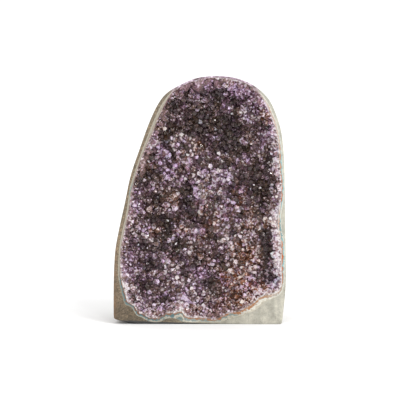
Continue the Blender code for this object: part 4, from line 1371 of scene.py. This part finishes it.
def open_floor(name, rings, middle=None):
    """The floor's surface through these rings, where points grow, with their growth on it: small
    beside the rim, where the floor is shallow."""
    faces = faces_between(rings)
    points = np.vstack(rings)
    if middle is not None:
        count = len(rings[0])
        end = (len(rings) - 1) * count
        faces += [(end + (i - 1) % count, end + i, len(points)) for i in range(count)]
        points = np.vstack([points, middle])
    mesh = bpy.data.meshes.new(name)
    mesh.from_pydata(points.tolist(), [], faces)
    if mesh.polygons[-1].normal.y > 0:
        mesh.flip_normals()
    flat = points[:, [0, 2]]
    growth = np.interp(inward_of_rim(flat) / MM, *np.transpose(POINT_GROWTH))
    size, swing = GROWTH_NOISE
    growth *= [1 + swing * noise.noise(Vector((x, 7, z)) / size) for x, z in flat]
    write_attribute(mesh, "growth", growth)
    return add_piece(name, mesh)


def merged(meshes):
    """One mesh of several, each with its number in the attribute layer."""
    work = bmesh.new()
    for number, mesh in enumerate(meshes):
        write_attribute(mesh, "layer", np.full(len(mesh.vertices), number))
        work.from_mesh(mesh)
    made = bpy.data.meshes.new("all_points")
    work.to_mesh(made)
    work.free()
    return made


amethyst = amethyst_material()
layers = []
for name, rings, middle, pitch in (
    ("open_floor", [at_depth(margin, 0), *dish], dish_middle, POINT_PITCH),
    ("rim_floor", [at_depth(margin, 0), *dish[:RIM_BAND_ROWS]], None, RIM_POINT_PITCH),
):
    ground = open_floor(name, rings, middle)
    layers.append(grown_points(ground, pitch, amethyst))
    bpy.data.objects.remove(ground)
groups, crystal_places, crystal_climbs = split_apart(merged(layers))
whole = joined(crust_mesh, [("UNION", group) for group in groups])
whole = joined(whole, [("INTERSECT", mould)])
keep_largest_part(whole)
crystal_numbers = np.rint(read_attribute(whole, "crystal")).astype(int)
paint_faces(whole, crystal_numbers, crystal_places)
paint_corners(whole, crystal_numbers, crystal_climbs)
crust = add_piece("amethyst_crystals", whole)
finish_piece(crust, "amethyst_crust", amethyst, smooth=False)

# The studio
#
# A pale floor that runs out of sight, broad soft light from above and behind, a sun-like key from
# the right, and a camera straight in front, a little above the middle of the geode.

FLOOR_SIZE = 60.0
CAMERA_DISTANCE = 1.4
CAMERA_RISE = math.radians(6)
LENS = 156.5
FRAME_MIDDLE = Vector((0.3 * MM, 0, 101.3 * MM))
FRONT_GLOW, BACK_GLOW = 0.35, 1.1


def add_sun(name, source, strength, spread):
    """A sun that shines from the direction of source, as wide as the spread in degrees."""
    light = bpy.data.lights.new(name, "SUN")
    light.energy = strength
    light.angle = math.radians(spread)
    lamp = bpy.data.objects.new(name, light)
    bpy.context.scene.collection.objects.link(lamp)
    lamp.rotation_mode = "QUATERNION"
    lamp.rotation_quaternion = Vector(source).to_track_quat("Z", "Y")
    return lamp


stage_mesh = bpy.data.meshes.new("studio_floor")
half = FLOOR_SIZE / 2
stage_mesh.from_pydata(
    [(-half, -half, 0), (half, -half, 0), (half, half, 0), (-half, half, 0)], [], [(0, 1, 2, 3)]
)
studio_floor = add_piece("studio_floor", stage_mesh)
floor_material, tree, shader, place = new_material("pale_floor")
shade = add_mix(tree, add_noise(tree, place, 6), (0.93, 0.93, 0.93), (0.95, 0.95, 0.95))
tree.links.new(shade, shader.inputs["Base Color"])
shader.inputs["Roughness"].default_value = 0.9
shader.inputs["Specular IOR Level"].default_value = 0.1
stage_mesh.materials.append(floor_material)

add_sun("key_light", (0.75, -0.65, 1.0), 1.1, 24)
for number, source in enumerate(((0.35, -0.9, 0.55), (-0.35, -0.8, 0.6), (0.8, -0.75, 0.2))):
    add_sun(f"sparkle_light_{number}", source, 0.3, 3)

world = bpy.data.worlds.new("studio")
bpy.context.scene.world = world
world.use_nodes = True
tree = world.node_tree
direction = tree.nodes.new("ShaderNodeTexCoord").outputs["Generated"]
toward = add_node(tree, "ShaderNodeSeparateXYZ", {0: direction})
glow = add_range(tree, toward.outputs["Y"], -0.35, 0.1, FRONT_GLOW, BACK_GLOW)
above = add_range(tree, toward.outputs["Z"], 0.45, 0.75, 0.0, 1.2)
glow = add_math(tree, "MAXIMUM", glow, above)
tree.nodes["Background"].inputs["Color"].default_value = (1, 1, 1, 1)
tree.links.new(glow, tree.nodes["Background"].inputs["Strength"])

camera_data = bpy.data.cameras.new("camera")
camera_data.lens = LENS
camera_data.sensor_width = 36
camera = bpy.data.objects.new("camera", camera_data)
bpy.context.scene.collection.objects.link(camera)
middle_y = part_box("amethyst_crust")[0].y
back = Vector((0, -math.cos(CAMERA_RISE), math.sin(CAMERA_RISE)))
camera.location = FRAME_MIDDLE + Vector((0, middle_y, 0)) + back * CAMERA_DISTANCE
camera.rotation_mode = "QUATERNION"
camera.rotation_quaternion = back.to_track_quat("Z", "Y")
bpy.context.scene.camera = camera
bpy.context.scene.view_settings.view_transform = "Standard"
